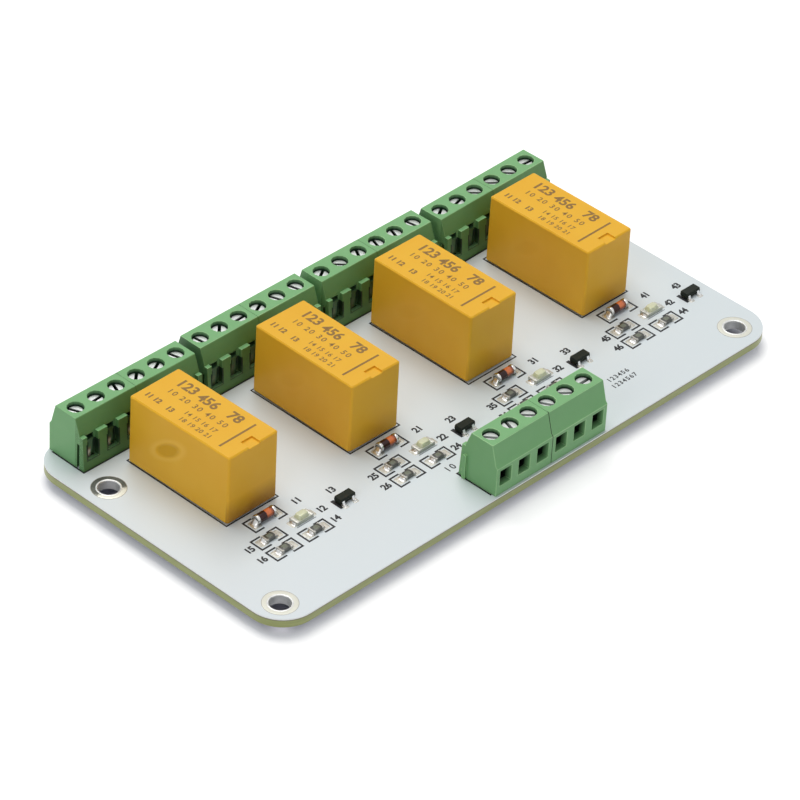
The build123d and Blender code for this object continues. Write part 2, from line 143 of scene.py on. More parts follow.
def own_place(tree):
    """Place of a point on the piece, in metres."""
    return add_node(tree, "ShaderNodeTexCoord").outputs["Object"]


def split(tree, vector):
    """The x, y and z of a vector."""
    return add_node(tree, "ShaderNodeSeparateXYZ", {"Vector": vector}).outputs[:]


def coloured(tree, shader, colour, *layers, socket="Base Color"):
    """Gives a shader its colour: the first one, mixed in turn with each layer's colour by the
    layer's share."""
    for other, share in layers:
        mix = add_node(tree, "ShaderNodeMix", {"A": colour, "B": other, "Factor": share}, data_type="RGBA")
        colour = mix.outputs["Result"]
    tree.links.new(colour, shader.inputs[socket])


def moulded_grain():
    """Group: how a moulded or coated surface varies. The colour drifts between two tones over
    broad soft patches, the gloss drifts with it, and fine noise gives the normal a faint grain."""
    group = bpy.data.node_groups.new("moulded_grain", "ShaderNodeTree")
    sockets = {
        "INPUT": [
            ("Tone", "Color"), ("Other Tone", "Color"), ("Patch Scale", "Float"), ("Grain Scale", "Float"),
            ("Grain", "Float"), ("Smooth", "Float"), ("Rough", "Float"),
        ],
        "OUTPUT": [("Color", "Color"), ("Roughness", "Float"), ("Normal", "Vector")],
    }
    for side, pairs in sockets.items():
        for name, kind in pairs:
            group.interface.new_socket(name, in_out=side, socket_type=f"NodeSocket{kind}")
    given = add_node(group, "NodeGroupInput").outputs
    place = own_place(group)
    patches = noise(group, place, given["Patch Scale"], 3.0, 0.55)
    grain = noise(group, place, given["Grain Scale"], 2.0, 0.6)
    blend = add_node(group, "ShaderNodeMix", {
        "Factor": patches, "A": given["Tone"], "B": given["Other Tone"],
    }, data_type="RGBA")
    bump = add_node(group, "ShaderNodeBump", {
        "Distance": 0.00002, "Strength": given["Grain"], "Height": grain,
    })
    add_node(group, "NodeGroupOutput", {
        "Color": blend.outputs["Result"], "Normal": bump.outputs["Normal"],
        "Roughness": ramp(group, patches, 0.0, 1.0, given["Smooth"], given["Rough"]),
    })
    return group


grain_group = moulded_grain()


def grained_finish(name, surface, tones, scales, grain, gloss):
    """Material with one Principled shader and its plain values, on which the moulded grain sets the
    colour, the roughness and the normal: two tones, the scales of the patches and of the grain, the
    grain's strength, and the least and most roughness. Returns the material, its tree, the shader
    and the grain's outputs."""
    material = bpy.data.materials.new(name)
    material.use_nodes = True
    tree = material.node_tree
    tree.nodes.clear()
    made = add_node(tree, "ShaderNodeGroup", {
        "Tone": tones[0], "Other Tone": tones[1], "Patch Scale": scales[0], "Grain Scale": scales[1],
        "Grain": grain, "Smooth": gloss[0], "Rough": gloss[1],
    }, node_tree=grain_group).outputs
    shader = add_node(tree, "ShaderNodeBsdfPrincipled", {
        "Base Color": made["Color"], "Roughness": made["Roughness"], "Normal": made["Normal"], **surface,
    })
    add_node(tree, "ShaderNodeOutputMaterial", {"Surface": shader.outputs["BSDF"]})
    return material, tree, shader, made


def paint(node_name, material):
    """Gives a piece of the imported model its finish."""
    mesh = frame["nodes"][node_name].data
    mesh.materials.clear()
    mesh.materials.append(material)


def board_finish():
    """Solder mask on faces that lie flat, laminate on the edge, with the mask's pale rim at the top,
    part the mask's own white and part painted highlight, and a thin dark line below it."""
    material, tree, shader, mask = grained_finish(
        "solder_mask", {"Coat Weight": 0.15, "Coat Roughness": 0.3}, (mask_white, mask_cool),
        scales=(28.0, 1500.0), grain=0.12, gloss=(0.34, 0.44),
    )
    normal = add_node(tree, "ShaderNodeNewGeometry").outputs["Normal"]
    flat = calc(tree, "GREATER_THAN", calc(tree, "ABSOLUTE", split(tree, normal)[2]), 0.7)
    place = own_place(tree)
    height = split(tree, place)[2]
    stretched = add_node(tree, "ShaderNodeMapping", {"Vector": place, "Scale": fibre_scale})
    fibres = noise(tree, stretched.outputs["Vector"], 1.0, 4.0)
    line, rim = (
        ramp(tree, height, (board_top - start) / 1000, (board_top - end) / 1000, 0.0, strength)
        for (start, end), strength in ((edge_dark_depths, edge_dark_strength), (rim_depths, 1.0))
    )
    coloured(
        tree, shader, laminate_khaki, (laminate_fibre, fibres), (edge_dark_line, line), (mask_rim_and_highlight, rim),
        (mask["Color"], flat),
    )
    return material


paint("circuit_board", board_finish())

# Mounting-hole rings.
# Each hole is plated through: a tinned copper ring on both faces, joined by the lining of the
# bore. The rings are bare of mask, so the mask ends in a fine step around them.

let_in = 0.002
ring_radius = 2.52
ring_height = 0.035
lining_wall = 0.03
round_sides = 64
tin_pale = (0.71, 0.71, 0.62, 1)
tin_grey = (0.60, 0.60, 0.52, 1)
tin_rubbed = (0.17, 0.18, 0.15, 1)
tin_dark = (0.012, 0.014, 0.010, 1)
rub_direction = (0.36, 0.93)
rub_limits = (-0.65, -1.25)
rub_raggedness = 1.8
metal_grain_scale = 5200.0
holes = next(m for m in frame["record"]["mounts"] if m["name"] == "mounting_holes")
hole_radius = holes["dims"]["hole_r_mm"]
hole_places = [
    (holes["pos_m"][0] * 1000 + sx * holes["dims"]["spacing_x_mm"] / 2,
     holes["pos_m"][1] * 1000 + sy * holes["dims"]["spacing_y_mm"] / 2)
    for sx in (-1, 1)
    for sy in (-1, 1)
]


def grid_faces(rows, columns, closed_rows=False, closed_columns=False):
    """Quads of a grid of points numbered row by row: point (i, j) is joined to (i, j + 1),
    (i + 1, j + 1) and (i + 1, j). A closed direction runs on from its last line to its first."""
    i, j = np.meshgrid(
        np.arange(rows if closed_rows else rows - 1),
        np.arange(columns if closed_columns else columns - 1),
        indexing="ij",
    )
    i, j = i.ravel(), j.ravel()
    after_i, after_j = (i + 1) % rows, (j + 1) % columns
    quads = np.stack([
        i * columns + j, i * columns + after_j, after_i * columns + after_j, after_i * columns + j,
    ], axis=1)
    return quads.tolist()


def turned(profile, centre=(0, 0, 0), axis="z", sides=40, closed=True):
    """Surface of revolution: profile points (r, h) turned about an axis through the centre.
    x = r cos t, y = r sin t, z = h, with t from 0 to a full turn, then set along the axis."""
    profile = np.asarray(profile, float)
    t = np.arange(sides) * 2 * pi / sides
    r, h = profile[:, :1], profile[:, 1:]
    along = np.broadcast_to(h, (len(profile), sides))
    around = np.stack([r * np.cos(t), r * np.sin(t), along], axis=-1)
    if axis == "x":
        around = around[..., [2, 0, 1]]
    points = around.reshape(-1, 3) + np.asarray(centre, float)
    return points, grid_faces(len(profile), sides, closed_rows=closed, closed_columns=True)


def make_piece(name, patches, material, smooth=50):
    """Joins patches of (points in millimetres, faces) in one mesh, turns its faces outwards, and
    adds it to the object. Edges sharper than the smooth angle in degrees stay sharp."""
    points, faces, start = [], [], 0
    for patch_points, patch_faces in patches:
        points.append(np.asarray(patch_points, float))
        faces += [[start + k for k in face] for face in patch_faces]
        start += len(patch_points)
    mesh = bpy.data.meshes.new(name)
    mesh.from_pydata((np.concatenate(points) / 1000).tolist(), [], faces)
    shell = bmesh.new()
    shell.from_mesh(mesh)
    bmesh.ops.remove_doubles(shell, verts=shell.verts, dist=1e-7)
    bmesh.ops.recalc_face_normals(shell, faces=shell.faces)
    shell.to_mesh(mesh)
    shell.free()
    mesh.polygons.foreach_set("use_smooth", [True] * len(mesh.polygons))
    mesh.set_sharp_from_angle(angle=radians(smooth))
    mesh.materials.append(material)
    piece = bpy.data.objects.new(name, mesh)
    bpy.context.scene.collection.objects.link(piece)
    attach(piece, "root")
    return piece


def plain_finish(name, surface, tones, **grain):
    """Material with the moulded grain alone."""
    return grained_finish(name, surface, tones, **grain)[0]


def metal_finish(name, tones, rough, metallic=1.0, patch_scale=900.0, grain=0.25):
    """Plated or tinned metal: two close tones in small patches, and a lightly uneven surface."""
    return plain_finish(
        name, {"Metallic": metallic}, tones, scales=(patch_scale, metal_grain_scale), grain=grain,
        gloss=(rough * 0.8, rough * 1.3),
    )


def times(tree, *values):
    """Product of numbers and outputs."""
    result = values[0]
    for value in values[1:]:
        result = calc(tree, "MULTIPLY", result, value)
    return result


def local_axes(tree, centre, turn=0.0):
    """The x, y and z of a point in millimetres, from a centre in plan given in millimetres, along
    axes turned about Z."""
    local = add_node(tree, "ShaderNodeMapping", {
        "Vector": own_place(tree), "Location": (centre[0] / 1000, centre[1] / 1000, 0),
        "Rotation": (0, 0, turn), "Scale": (0.001, 0.001, 0.001),
    }, vector_type="TEXTURE")
    return split(tree, local.outputs["Vector"])


def ring_profile(face, outward):
    """Section of a ring on one face of the board: it rises to a soft flat top and falls to the
    bore under the lip of the lining. Outward is 1 on the upper face and -1 on the lower."""
    section = [
        (hole_radius, -let_in), (ring_radius, -let_in), (ring_radius, ring_height * 0.5),
        (ring_radius - 0.1, ring_height), (hole_radius + 0.24, ring_height),
        (hole_radius, ring_height * 0.3),
    ]
    return [(r, face + outward * h) for r, h in section]


def worn_finish(spot):
    """Tin of the rubbed ring: mottled dark round most of it, and still whole where a point's
    distance along the rubbing's direction, made ragged by noise, falls below the limits."""
    material, tree, shader, rubbed = grained_finish(
        "worn_ring", {"Metallic": 0.4}, (tin_rubbed, tin_dark), scales=(1300.0, metal_grain_scale),
        grain=0.9, gloss=(0.38, 0.5),
    )
    x, y, _ = local_axes(tree, spot)
    along = calc(tree, "ADD", times(tree, x, rub_direction[0]), times(tree, y, rub_direction[1]))
    uneven = calc(tree, "SUBTRACT", noise(tree, own_place(tree), 1400.0, 3.0), 0.5)
    limit = calc(tree, "ADD", along, times(tree, uneven, rub_raggedness))
    coloured(tree, shader, rubbed["Color"], (tin_pale, ramp(tree, limit, *rub_limits)))
    return material


lining_profile = [
    (hole_radius - lining_wall, board_bottom - 0.012), (hole_radius - 0.001, board_bottom - 0.012),
    (hole_radius - 0.001, board_top + 0.006), (hole_radius + 0.28, board_top + 0.030),
    (hole_radius + 0.22, board_top + 0.068), (hole_radius + 0.13, board_top + 0.075),
    (hole_radius + 0.04, board_top + 0.045), (hole_radius - lining_wall, board_top - 0.06),
]
step_profile = [
    (ring_radius - 0.01, board_top - let_in), (ring_radius + 0.09, board_top - let_in),
    (ring_radius + 0.09, board_top + 0.010), (ring_radius - 0.01, board_top + 0.014),
]
worn_place = min(hole_places, key=lambda spot: spot[0] - spot[1])
rings, worn_rings, linings, steps = [], [], [], []
for spot in hole_places:
    centre = (*spot, 0)
    for face, outward in ((board_top, 1), (board_bottom, -1)):
        ring = turned(ring_profile(face, outward), centre, sides=round_sides)
        (worn_rings if spot == worn_place else rings).append(ring)
    linings.append(turned(lining_profile, centre, sides=round_sides))
    steps.append(turned(step_profile, centre, sides=round_sides))
ring_tin = metal_finish("tinned_ring", (tin_pale, tin_grey), 0.42, metallic=0.2, patch_scale=420.0)
lining_tin = metal_finish("bore_lining", ((0.80, 0.81, 0.80, 1), (0.46, 0.47, 0.46, 1)), 0.40, metallic=0.5)
step_grey = metal_finish("mask_step", ((0.30, 0.30, 0.28, 1), (0.52, 0.52, 0.48, 1)), 0.5, metallic=0.2)
for name, patches, metal in (
    ("mounting_hole_rings", rings, ring_tin), ("worn_hole_rings", worn_rings, worn_finish(worn_place)),
    ("hole_linings", linings, lining_tin), ("mask_steps", steps, step_grey),
):
    make_piece(name, patches, metal, smooth=30)

# Legend.
# Thin black ink printed on the mask: an outline around each relay, open brackets round the diode
# and the resistors, a bar beside the transistor, widened by painted shadow towards its body, and
# plain numbers that stand for the parts. A grey line in front of each status light is a painted shadow.

legend_height = 0.018
legend_width = 0.29
ink_black = (0.008, 0.009, 0.011, 1)
ink_dark = (0.020, 0.022, 0.025, 1)
# Greys of the painted shadow line in front of each status light.
shadow_line_grey = (0.16, 0.17, 0.18, 1)
shadow_line_pale = (0.30, 0.31, 0.32, 1)
channels = range(1, 5)
relay_outline_middle = (0.15, 5.63)
relay_outline_half = (4.97, 9.98)
diode_y = -6.72
resistor_places = [(-2.35, -10.2), (-2.45, -13.3), (3.7, -13.25)]
# Painted shadow: a grey line along the front of each status light.
light_shadow_path = [(2.15, -11.15), (5.8, -11.15)]
# Printed bar beside the transistor, widened towards the body to paint the shadow there.
transistor_bar_and_shade = [(9.88, -10.1), (9.88, -12.3)]
label_spots = [
    (6.31, -6.8), (7.58, -10.48), (11.48, -8.36), (7.52, -13.29), (-6.08, -10.26), (-6.33, -12.97),
]
edge_numbers = [
    ("123456", 1.15, (24.8, -17.4)), ("1234567", 1.15, (24.6, -18.85)), ("10", 1.6, (-8.9, -16.1)),
]
row_turns = {
    "output_1": radians(-0.4), "output_2": 0.0, "output_3": 0.0, "output_4": radians(1.2), "input": 0.0,
}
terminal_rows = list(row_turns)
wire_side = {row: -1 if row == "input" else 1 for row in terminal_rows}
row_half = 11.52
row_outline_reach = (2.6, -4.0)


def middle_of(node_name):
    """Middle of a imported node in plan, in millimetres."""
    low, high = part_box(node_name)
    return (low.x + high.x) * 500, (low.y + high.y) * 500


def spun(points, angle, centre=(0, 0)):
    """Points turned about Z and moved to a centre in plan: x cos a - y sin a, x sin a + y cos a."""
    points = np.array(points, float)
    turn = np.array([[cos(angle), -sin(angle)], [sin(angle), cos(angle)]])
    points[..., :2] = points[..., :2] @ turn.T + np.asarray(centre)
    return points


def strip(path, width, level, height, closed=False):
    """Flat line along a path: at each point the sides lie half the width to the left and right of
    the mean direction there, widened at a corner by 1 / cos(half the turn). It stands on a level."""
    path = np.asarray(path, float)
    ahead = np.roll(path, -1, axis=0) - path
    behind = path - np.roll(path, 1, axis=0)
    if not closed:
        ahead[-1] = behind[-1]
        behind[0] = ahead[0]
    ahead /= np.linalg.norm(ahead, axis=1, keepdims=True)
    behind /= np.linalg.norm(behind, axis=1, keepdims=True)
    mean = ahead + behind
    mean /= np.linalg.norm(mean, axis=1, keepdims=True)
    side = np.stack([-mean[:, 1], mean[:, 0]], axis=1)
    side *= (width / 2) / np.sum(mean * ahead, axis=1, keepdims=True)
    foot = np.full(len(path), level - let_in)
    top = np.full(len(path), level + height)
    sections = np.stack([
        np.c_[path + side, foot], np.c_[path + side, top], np.c_[path - side, top], np.c_[path - side, foot],
    ], axis=1)
    faces = grid_faces(len(path), 4, closed_rows=closed, closed_columns=True)
    if not closed:
        last = 4 * (len(path) - 1)
        faces += [[0, 1, 2, 3], [last + 3, last + 2, last + 1, last]]
    return sections.reshape(-1, 3), faces


def legend_line(path, width=legend_width, closed=False):
    """One printed line on the board."""
    return strip(path, width, board_top, legend_height, closed)


def bracket(x, y, half_length, half_width, reach):
    """Two facing open brackets: each a short end with two arms that stop before the middle."""
    return [
        legend_line([
            (x + side * reach, y + half_width), (x + side * half_length, y + half_width),
            (x + side * half_length, y - half_width), (x + side * reach, y - half_width),
        ])
        for side in (-1, 1)
    ]


def numerals(text, size, spot, level, height, turn=0.0, bold=0.0, spacing=1.0):
    """Plain number as a closed flat solid that stands on a level: its outline made bolder and
    filled, turned about Z and moved to a spot."""
    curve = bpy.data.curves.new("numerals", "FONT")
    curve.body = text
    curve.size = size
    curve.offset = bold
    curve.space_character = spacing
    curve.align_x = "CENTER"
    curve.align_y = "CENTER"
    curve.extrude = (height + let_in) / 2
    curve.resolution_u = 3
    maker = bpy.data.objects.new("numerals", curve)
    mesh = bpy.data.meshes.new_from_object(maker)
    points = np.zeros(len(mesh.vertices) * 3)
    mesh.vertices.foreach_get("co", points)
    points = spun(points.reshape(-1, 3), turn, spot)
    points[:, 2] += level + (height - let_in) / 2
    faces = [list(face.vertices) for face in mesh.polygons]
    bpy.data.objects.remove(maker)
    bpy.data.curves.remove(curve)
    bpy.data.meshes.remove(mesh)
    return points, faces


relay_centres = [middle_of(f"relay_{number}_cover") for number in channels]
black_lines, light_shadow_strips, numbers = [], [], []
for number, (x, _) in zip(channels, relay_centres):
    outline = [
        (x + relay_outline_middle[0] + sx * relay_outline_half[0],
         relay_outline_middle[1] + sy * relay_outline_half[1])
        for sx, sy in ((-1, -1), (1, -1), (1, 1), (-1, 1))
    ]
    black_lines.append(legend_line(outline, width=0.22, closed=True))
    black_lines += bracket(x + 0.25, diode_y, half_length=3.0, half_width=1.3, reach=1.35)
    for part_x, part_y in resistor_places:
        black_lines += bracket(x + part_x, part_y, half_length=2.42, half_width=1.15, reach=0.62)
    # Painted shadow in front of the status light.
    light_shadow_strips.append(legend_line(np.array(light_shadow_path) + (x, 0), width=0.12))
    # Printed bar, widened by painted shadow beside the transistor's body.
    black_lines.append(legend_line(np.array(transistor_bar_and_shade) + (x, 0), width=0.62))
    for order, (spot_x, spot_y) in enumerate(label_spots, start=1):
        label_spot = (x + spot_x, spot_y)
        numbers.append(numerals(
            f"{number}{order}", 1.62, label_spot, board_top, legend_height, bold=0.06, spacing=0.9,
        ))
for text, size, spot in edge_numbers:
    numbers.append(numerals(text, size, spot, board_top, legend_height, bold=0.02, spacing=1.3))
for row in terminal_rows:
    outer, inner = (wire_side[row] * reach for reach in row_outline_reach)
    path = [(-row_half, outer), (-row_half, inner), (row_half, inner), (row_half, outer)]
    black_lines.append(legend_line(spun(path, row_turns[row], middle_of(f"{row}_screws")), width=0.26))
legend_ink, light_shadow_ink = (
    plain_finish(
        name, {"Specular IOR Level": 0.3}, tones, scales=(patch_scale, 6000.0), grain=0.2, gloss=(0.5, 0.65)
    )
    for name, tones, patch_scale in (
        ("legend_ink", (ink_black, ink_dark), 700.0), ("light_shadow_grey", (shadow_line_grey, shadow_line_pale), 900.0),
    )
)
make_piece("legend_lines", black_lines, legend_ink, smooth=20)
make_piece("legend_numbers", numbers, legend_ink, smooth=20)
make_piece("painted_light_shadow", light_shadow_strips, light_shadow_ink, smooth=20)

# Terminal housings.
# Ten three-pole blocks injection-moulded in green plastic, two to a row, pushed together at a
# dovetail. Each edge has the small radius of its mould, which catches the light, and is painted a
# paler green as a highlight.


def srgb(red, green, blue):
    """Linear colour of an sRGB value given from 0 to 255: ((v + 0.055) / 1.055)^2.4, or v / 12.92
    where v is very small."""
    values = [channel / 255 for channel in (red, green, blue)]
    linear = [v / 12.92 if v <= 0.04045 else ((v + 0.055) / 1.055) ** 2.4 for v in values]
    return (*linear, 1)


moulded_edge = 0.00017
green_light = srgb(128, 181, 124)
green_deep = srgb(118, 171, 115)
# Paler green of the rounded edges: a painted highlight.
painted_edge_green = srgb(170, 214, 156)
# Painted shade: these greens darken the wells, the window funnels, the hollow behind the comb, the comb's
# side and face, and the gaps between rows.
green_shadow = (0.006, 0.017, 0.009, 1)
green_dusk = (0.016, 0.046, 0.025, 1)
green_hollow_shade = (0.052, 0.135, 0.060, 1)
green_comb_shade = (0.060, 0.150, 0.036, 1)
pole_pitch = 3.81
well_shade_radius = 1.31
well_shade_depths = (0.08, 0.62)
window_half_width = 1.25
window_sill = 1.4
window_head = 4.25
wire_face = 3.22
funnel_end = 2.35
comb_wall = 2.85
comb_back = 0.4
comb_top_edge = 2.0
hollow_height = 5.6
hollow_end_wall = 0.55
row_end_skin = 0.12
seam_side = 1.8
seam_half_width = 0.08
comb_shade_shares = {"output_1": 0.62, "output_2": 0.55, "output_3": 0.5, "output_4": 0.5, "input": 0.0}
neighbours = {
    "output_1": (0, 1), "output_2": (1, 1), "output_3": (1, 1), "output_4": (1, 0), "input": (0, 0),
}
gap_shade = 0.5


def moulded_copy(node_name, piece_name, material, edge, sharp=34.0, edge_material=None, tight=None):
    """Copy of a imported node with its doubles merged, its flat faces whole again, and each edge
    sharper than the given angle rounded by a small bevel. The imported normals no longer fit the
    merged faces, so they go. It stands for the node. Tight, given the points' places, says which
    points lie on a joint that is too tight to have a rounded edge."""
    mesh = frame["nodes"][node_name].data.copy()
    mesh.name = piece_name
    shell = bmesh.new()
    shell.from_mesh(mesh)
    bmesh.ops.remove_doubles(shell, verts=shell.verts, dist=2e-6)
    bmesh.ops.dissolve_limit(
        shell, angle_limit=radians(1.5), verts=shell.verts, edges=shell.edges, use_dissolve_boundaries=False
    )
    shell.to_mesh(mesh)
    shell.free()
    packed_normals = mesh.attributes.get("custom_normal")
    if packed_normals:
        mesh.attributes.remove(packed_normals)
    mesh.materials.clear()
    mesh.materials.append(material)
    mesh.polygons.foreach_set("use_smooth", [True] * len(mesh.polygons))
    mesh.set_sharp_from_angle(angle=radians(sharp))
    piece = bpy.data.objects.new(piece_name, mesh)
    bpy.context.scene.collection.objects.link(piece)
    bevel = piece.modifiers.new("moulded_edges", "BEVEL")
    bevel.width = edge
    bevel.segments = 2
    bevel.limit_method = "ANGLE"
    bevel.angle_limit = radians(sharp)
    bevel.use_clamp_overlap = True
    bevel.harden_normals = True
    if tight:
        points = np.zeros(len(mesh.vertices) * 3)
        mesh.vertices.foreach_get("co", points)
        ends = np.zeros(len(mesh.edges) * 2, int)
        mesh.edges.foreach_get("vertices", ends)
        sharp_edges = np.zeros(len(mesh.edges), bool)
        mesh.attributes["sharp_edge"].data.foreach_get("value", sharp_edges)
        on_joint = tight(points.reshape(-1, 3) * 1000)[ends.reshape(-1, 2)].all(axis=1)
        weights = mesh.attributes.new("bevel_weight_edge", "FLOAT", "EDGE")
        weights.data.foreach_set("value", (sharp_edges & ~on_joint).astype(float))
        bevel.limit_method = "WEIGHT"
    if edge_material:
        mesh.materials.append(edge_material)
        bevel.material = 1
    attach(piece, "root")
    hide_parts(node_name)
    return piece


def row_axes(tree, row):
    """A row's own frame in millimetres, from the middle of its screws: x, y, z, and dx, how far a
    point lies from its pole's axis: dx = (fraction of x / pitch - 1/2) pitch."""
    x, y, z = local_axes(tree, middle_of(f"{row}_screws"), row_turns[row])
    share = calc(tree, "FRACT", calc(tree, "DIVIDE", x, pole_pitch))
    return x, y, z, times(tree, calc(tree, "SUBTRACT", share, 0.5), pole_pitch)


def green_finish(name, row, tones, specular):
    """Green plastic of one row with painted shade where less light gets in: down the screw wells,
    along the funnels of the windows, behind the comb, on the comb's side and in the gap to the next
    row. A dark line marks the joint between its two blocks on the side of the wires."""
    material, tree, shader, plastic = grained_finish(name, {
        "Specular IOR Level": specular, "Subsurface Weight": 0.05, "Subsurface Scale": 0.0012,
        "Subsurface Radius": (0.35, 1.0, 0.35),
    }, tones, scales=(260.0, 3800.0), grain=0.22, gloss=(0.36, 0.46))

    def below(value, limit):
        return calc(tree, "LESS_THAN", value, limit)

    def above(value, limit):
        return calc(tree, "GREATER_THAN", value, limit)

    x, y, z, dx = row_axes(tree, row)
    squares = [calc(tree, "POWER", value, 2.0) for value in (dx, y)]
    distance = calc(tree, "SQRT", calc(tree, "ADD", *squares))
    to_wires = times(tree, y, wire_side[row])
    along = calc(tree, "ABSOLUTE", x)
    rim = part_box(f"{row}_left_housing")[1].z * 1000
    # Painted shade down the screw wells.
    well = times(
        tree, below(distance, well_shade_radius),
        ramp(tree, z, *(rim - depth for depth in well_shade_depths)),
    )
    # Painted shade along the funnels of the windows.
    funnel_shade = times(
        tree, below(calc(tree, "ABSOLUTE", dx), window_half_width),
        above(z, board_top + window_sill), below(z, board_top + window_head),
        ramp(tree, to_wires, wire_face, funnel_end),
        ramp(tree, z, board_top + 1.5, board_top + 3.0, 0.6, 0.95),
    )
    # Painted shade in the hollow of the housing, behind the comb and the windows.
    hollow = times(
        tree, above(to_wires, -comb_wall), below(to_wires, funnel_end),
        below(z, board_top + hollow_height), below(along, row_half - hollow_end_wall),
    )
    behind_comb_shade = times(tree, hollow, below(to_wires, comb_back))
    normal = add_node(tree, "ShaderNodeNewGeometry").outputs["Normal"]
    upright = times(tree, below(split(tree, normal)[2], 0.6), below(along, row_half - row_end_skin))
    comb_shade = comb_shade_shares[row]
    # Painted shade on the comb's side and face, which face away from the light.
    comb_side_shade = times(
        tree, upright, below(to_wires, -comb_top_edge),
        ramp(tree, z, rim, board_top + 1.0, comb_shade * 0.8, comb_shade * 1.2),
    )
    comb_face_shade = times(tree, upright, below(to_wires, -comb_wall - 0.15), comb_shade * 0.75)
    first, last = neighbours[row]
    # Painted shade in the gap to the next row.
    gap = calc(
        tree, "ADD", times(tree, below(x, row_end_skin - row_half), gap_shade * first),
        times(tree, above(x, row_half - row_end_skin), gap_shade * last),
    )
    seam_strength = 0.75 if row == "input" else 0.2
    seam = times(tree, below(along, seam_half_width), above(to_wires, seam_side), seam_strength)
    # Painted shade of the funnels and the hollow, with the dark line of the joint.
    dark = calc(tree, "MAXIMUM", calc(tree, "MAXIMUM", funnel_shade, hollow), seam)
    coloured(
        tree, shader, plastic["Color"], (green_comb_shade, comb_side_shade), (green_comb_shade, comb_face_shade),
        (green_dusk, gap), (green_dusk, well), (green_shadow, dark), (green_hollow_shade, behind_comb_shade),
    )
    return material


def seam_points(row):
    """Test for points on the joint between a row's two blocks, except on the side of the wires."""
    middle = middle_of(f"{row}_screws")

    def on_seam(points):
        x, y = spun(points[:, :2] - middle, -row_turns[row]).T
        return (np.abs(x) < 0.1) & (wire_side[row] * y < seam_side + 0.5)

    return on_seam


for row in terminal_rows:
    plastic = green_finish(f"green_plastic_{row}", row, (green_light, green_deep), 0.26)
    # The rounded edges take the paler green as a painted highlight.
    edges = green_finish(f"green_painted_edges_{row}", row, (painted_edge_green, green_light), 0.3)
    for side in ("left", "right"):
        node = f"{row}_{side}_housing"
        moulded_copy(
            node, f"{node}_moulded", plastic, moulded_edge, edge_material=edges,
            tight=seam_points(row),
        )

# Terminal screws.
# Nickel-plated steel screws with a slotted cheese head, turned on a lathe and left at any angle.
# Each head lies a little below the rim of its well.

screw_turns = {
    "output_1": [115, 6, 70, 43, 28, 105], "output_2": [97, 45, 3, 27, 112, 105],
    "output_3": [31, 135, 60, 72, 70, 100], "output_4": [30, 15, 135, 140, 132, 175],
    "input": [180, 320, 300, 315, 253, 310],
}
nickel_light = (0.80, 0.81, 0.80, 1)
nickel_dark = (0.40, 0.42, 0.42, 1)
# Painted shade deep in the slots and round the sides of the heads.
slot_shade = (0.012, 0.020, 0.015, 1)
poles_in_row = 6
head_radius = 1.15
head_chamfer = 0.10
slot_width = 0.44
slot_depth = 0.8
slot_draw = 0.35
near_axis = 0.001


def stacked(sections):
    """Closed solid through sections with the same count of points, from the foot up, each given as
    (points in plan, height). The first and the last are closed flat."""
    sides = len(sections[0][0])
    points = np.concatenate([np.c_[section, np.full(sides, height)] for section, height in sections])
    last = (len(sections) - 1) * sides
    faces = grid_faces(len(sections), sides, closed_columns=True)
    faces += [list(range(last, last + sides)), list(range(sides - 1, -1, -1))]
    return points, faces


def half_head(centre, top, low, turn, arc_points=22):
    """One half of a slotted head: the outline is an arc and the chord along the slot's wall. It is
    carried from the seat up to the chamfer, drawn in by the chamfer, and closed with a flat top."""
    sections = []
    for inset, height in ((0.0, low), (0.0, top - head_chamfer), (head_chamfer, top)):
        r = head_radius - inset
        start = np.arcsin((slot_width / 2 + inset * slot_draw) / r)
        t = np.linspace(start, pi - start, arc_points)
        sections.append((np.stack([r * np.cos(t), r * np.sin(t)], axis=1), height))
    points, faces = stacked(sections)
    return spun(points, turn, centre), faces


def screw_head(centre, top, low, turn):
    """Whole head: two halves either side of the slot, on a plain disc at the slot's floor."""
    floor = top - slot_depth
    disc = [(near_axis, low), (head_radius, low), (head_radius, floor), (near_axis, floor)]
    halves = [half_head(centre, top, floor, turn + extra) for extra in (0, pi)]
    return [turned(disc, (*centre, 0), sides=42), *halves]


def pole_spots(row, off_line=0.0):
    """Places of a row's poles in plan, from left to right, moved sideways off the screws' line."""
    steps = (np.arange(poles_in_row) - (poles_in_row - 1) / 2) * pole_pitch
    return spun([(step, off_line) for step in steps], row_turns[row], middle_of(f"{row}_screws"))


def nickel_finish(name, head_top, lit_depth, metallic):
    """Nickel on the face of the head and, down to a depth, in the slot. Below is painted shade."""
    material, tree, shader, nickel = grained_finish(
        name, {"Metallic": metallic}, (nickel_light, nickel_dark), scales=(1000.0, metal_grain_scale),
        grain=0.5, gloss=(0.30, 0.42),
    )
    height = split(tree, own_place(tree))[2]
    # Painted shade below the given depth.
    lit_end = head_top - lit_depth
    slot_shade_share = ramp(tree, height, lit_end / 1000, (lit_end - 0.10) / 1000)
    coloured(tree, shader, nickel["Color"], (slot_shade, slot_shade_share))
    return material


head_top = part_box("input_screws")[1].z * 1000
# Output rows get painted shade close under the top, the input row only deep down.
slot_shaded_nickel = nickel_finish("nickel_slot_shaded", head_top, lit_depth=0.13, metallic=0.8)
shallow_shade_nickel = nickel_finish("nickel_shallow_shade", head_top, lit_depth=0.6, metallic=0.4)
for row in terminal_rows:
    low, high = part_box(f"{row}_screws")
    heads = []
    for spot, screw_turn in zip(pole_spots(row)[::wire_side[row]], screw_turns[row]):
        heads += screw_head(spot, high.z * 1000, low.z * 1000, radians(screw_turn) + row_turns[row])
    nickel = shallow_shade_nickel if row == "input" else slot_shaded_nickel
    piece = make_piece(f"{row}_screw_heads", heads, nickel, smooth=30)
    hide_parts(f"{row}_screws")

# Clamps and contacts.
# Folded steel cages that hold the wires, and tin-plated copper strips that run from each cage
# down through the board. They show through the windows and the slots of the comb.

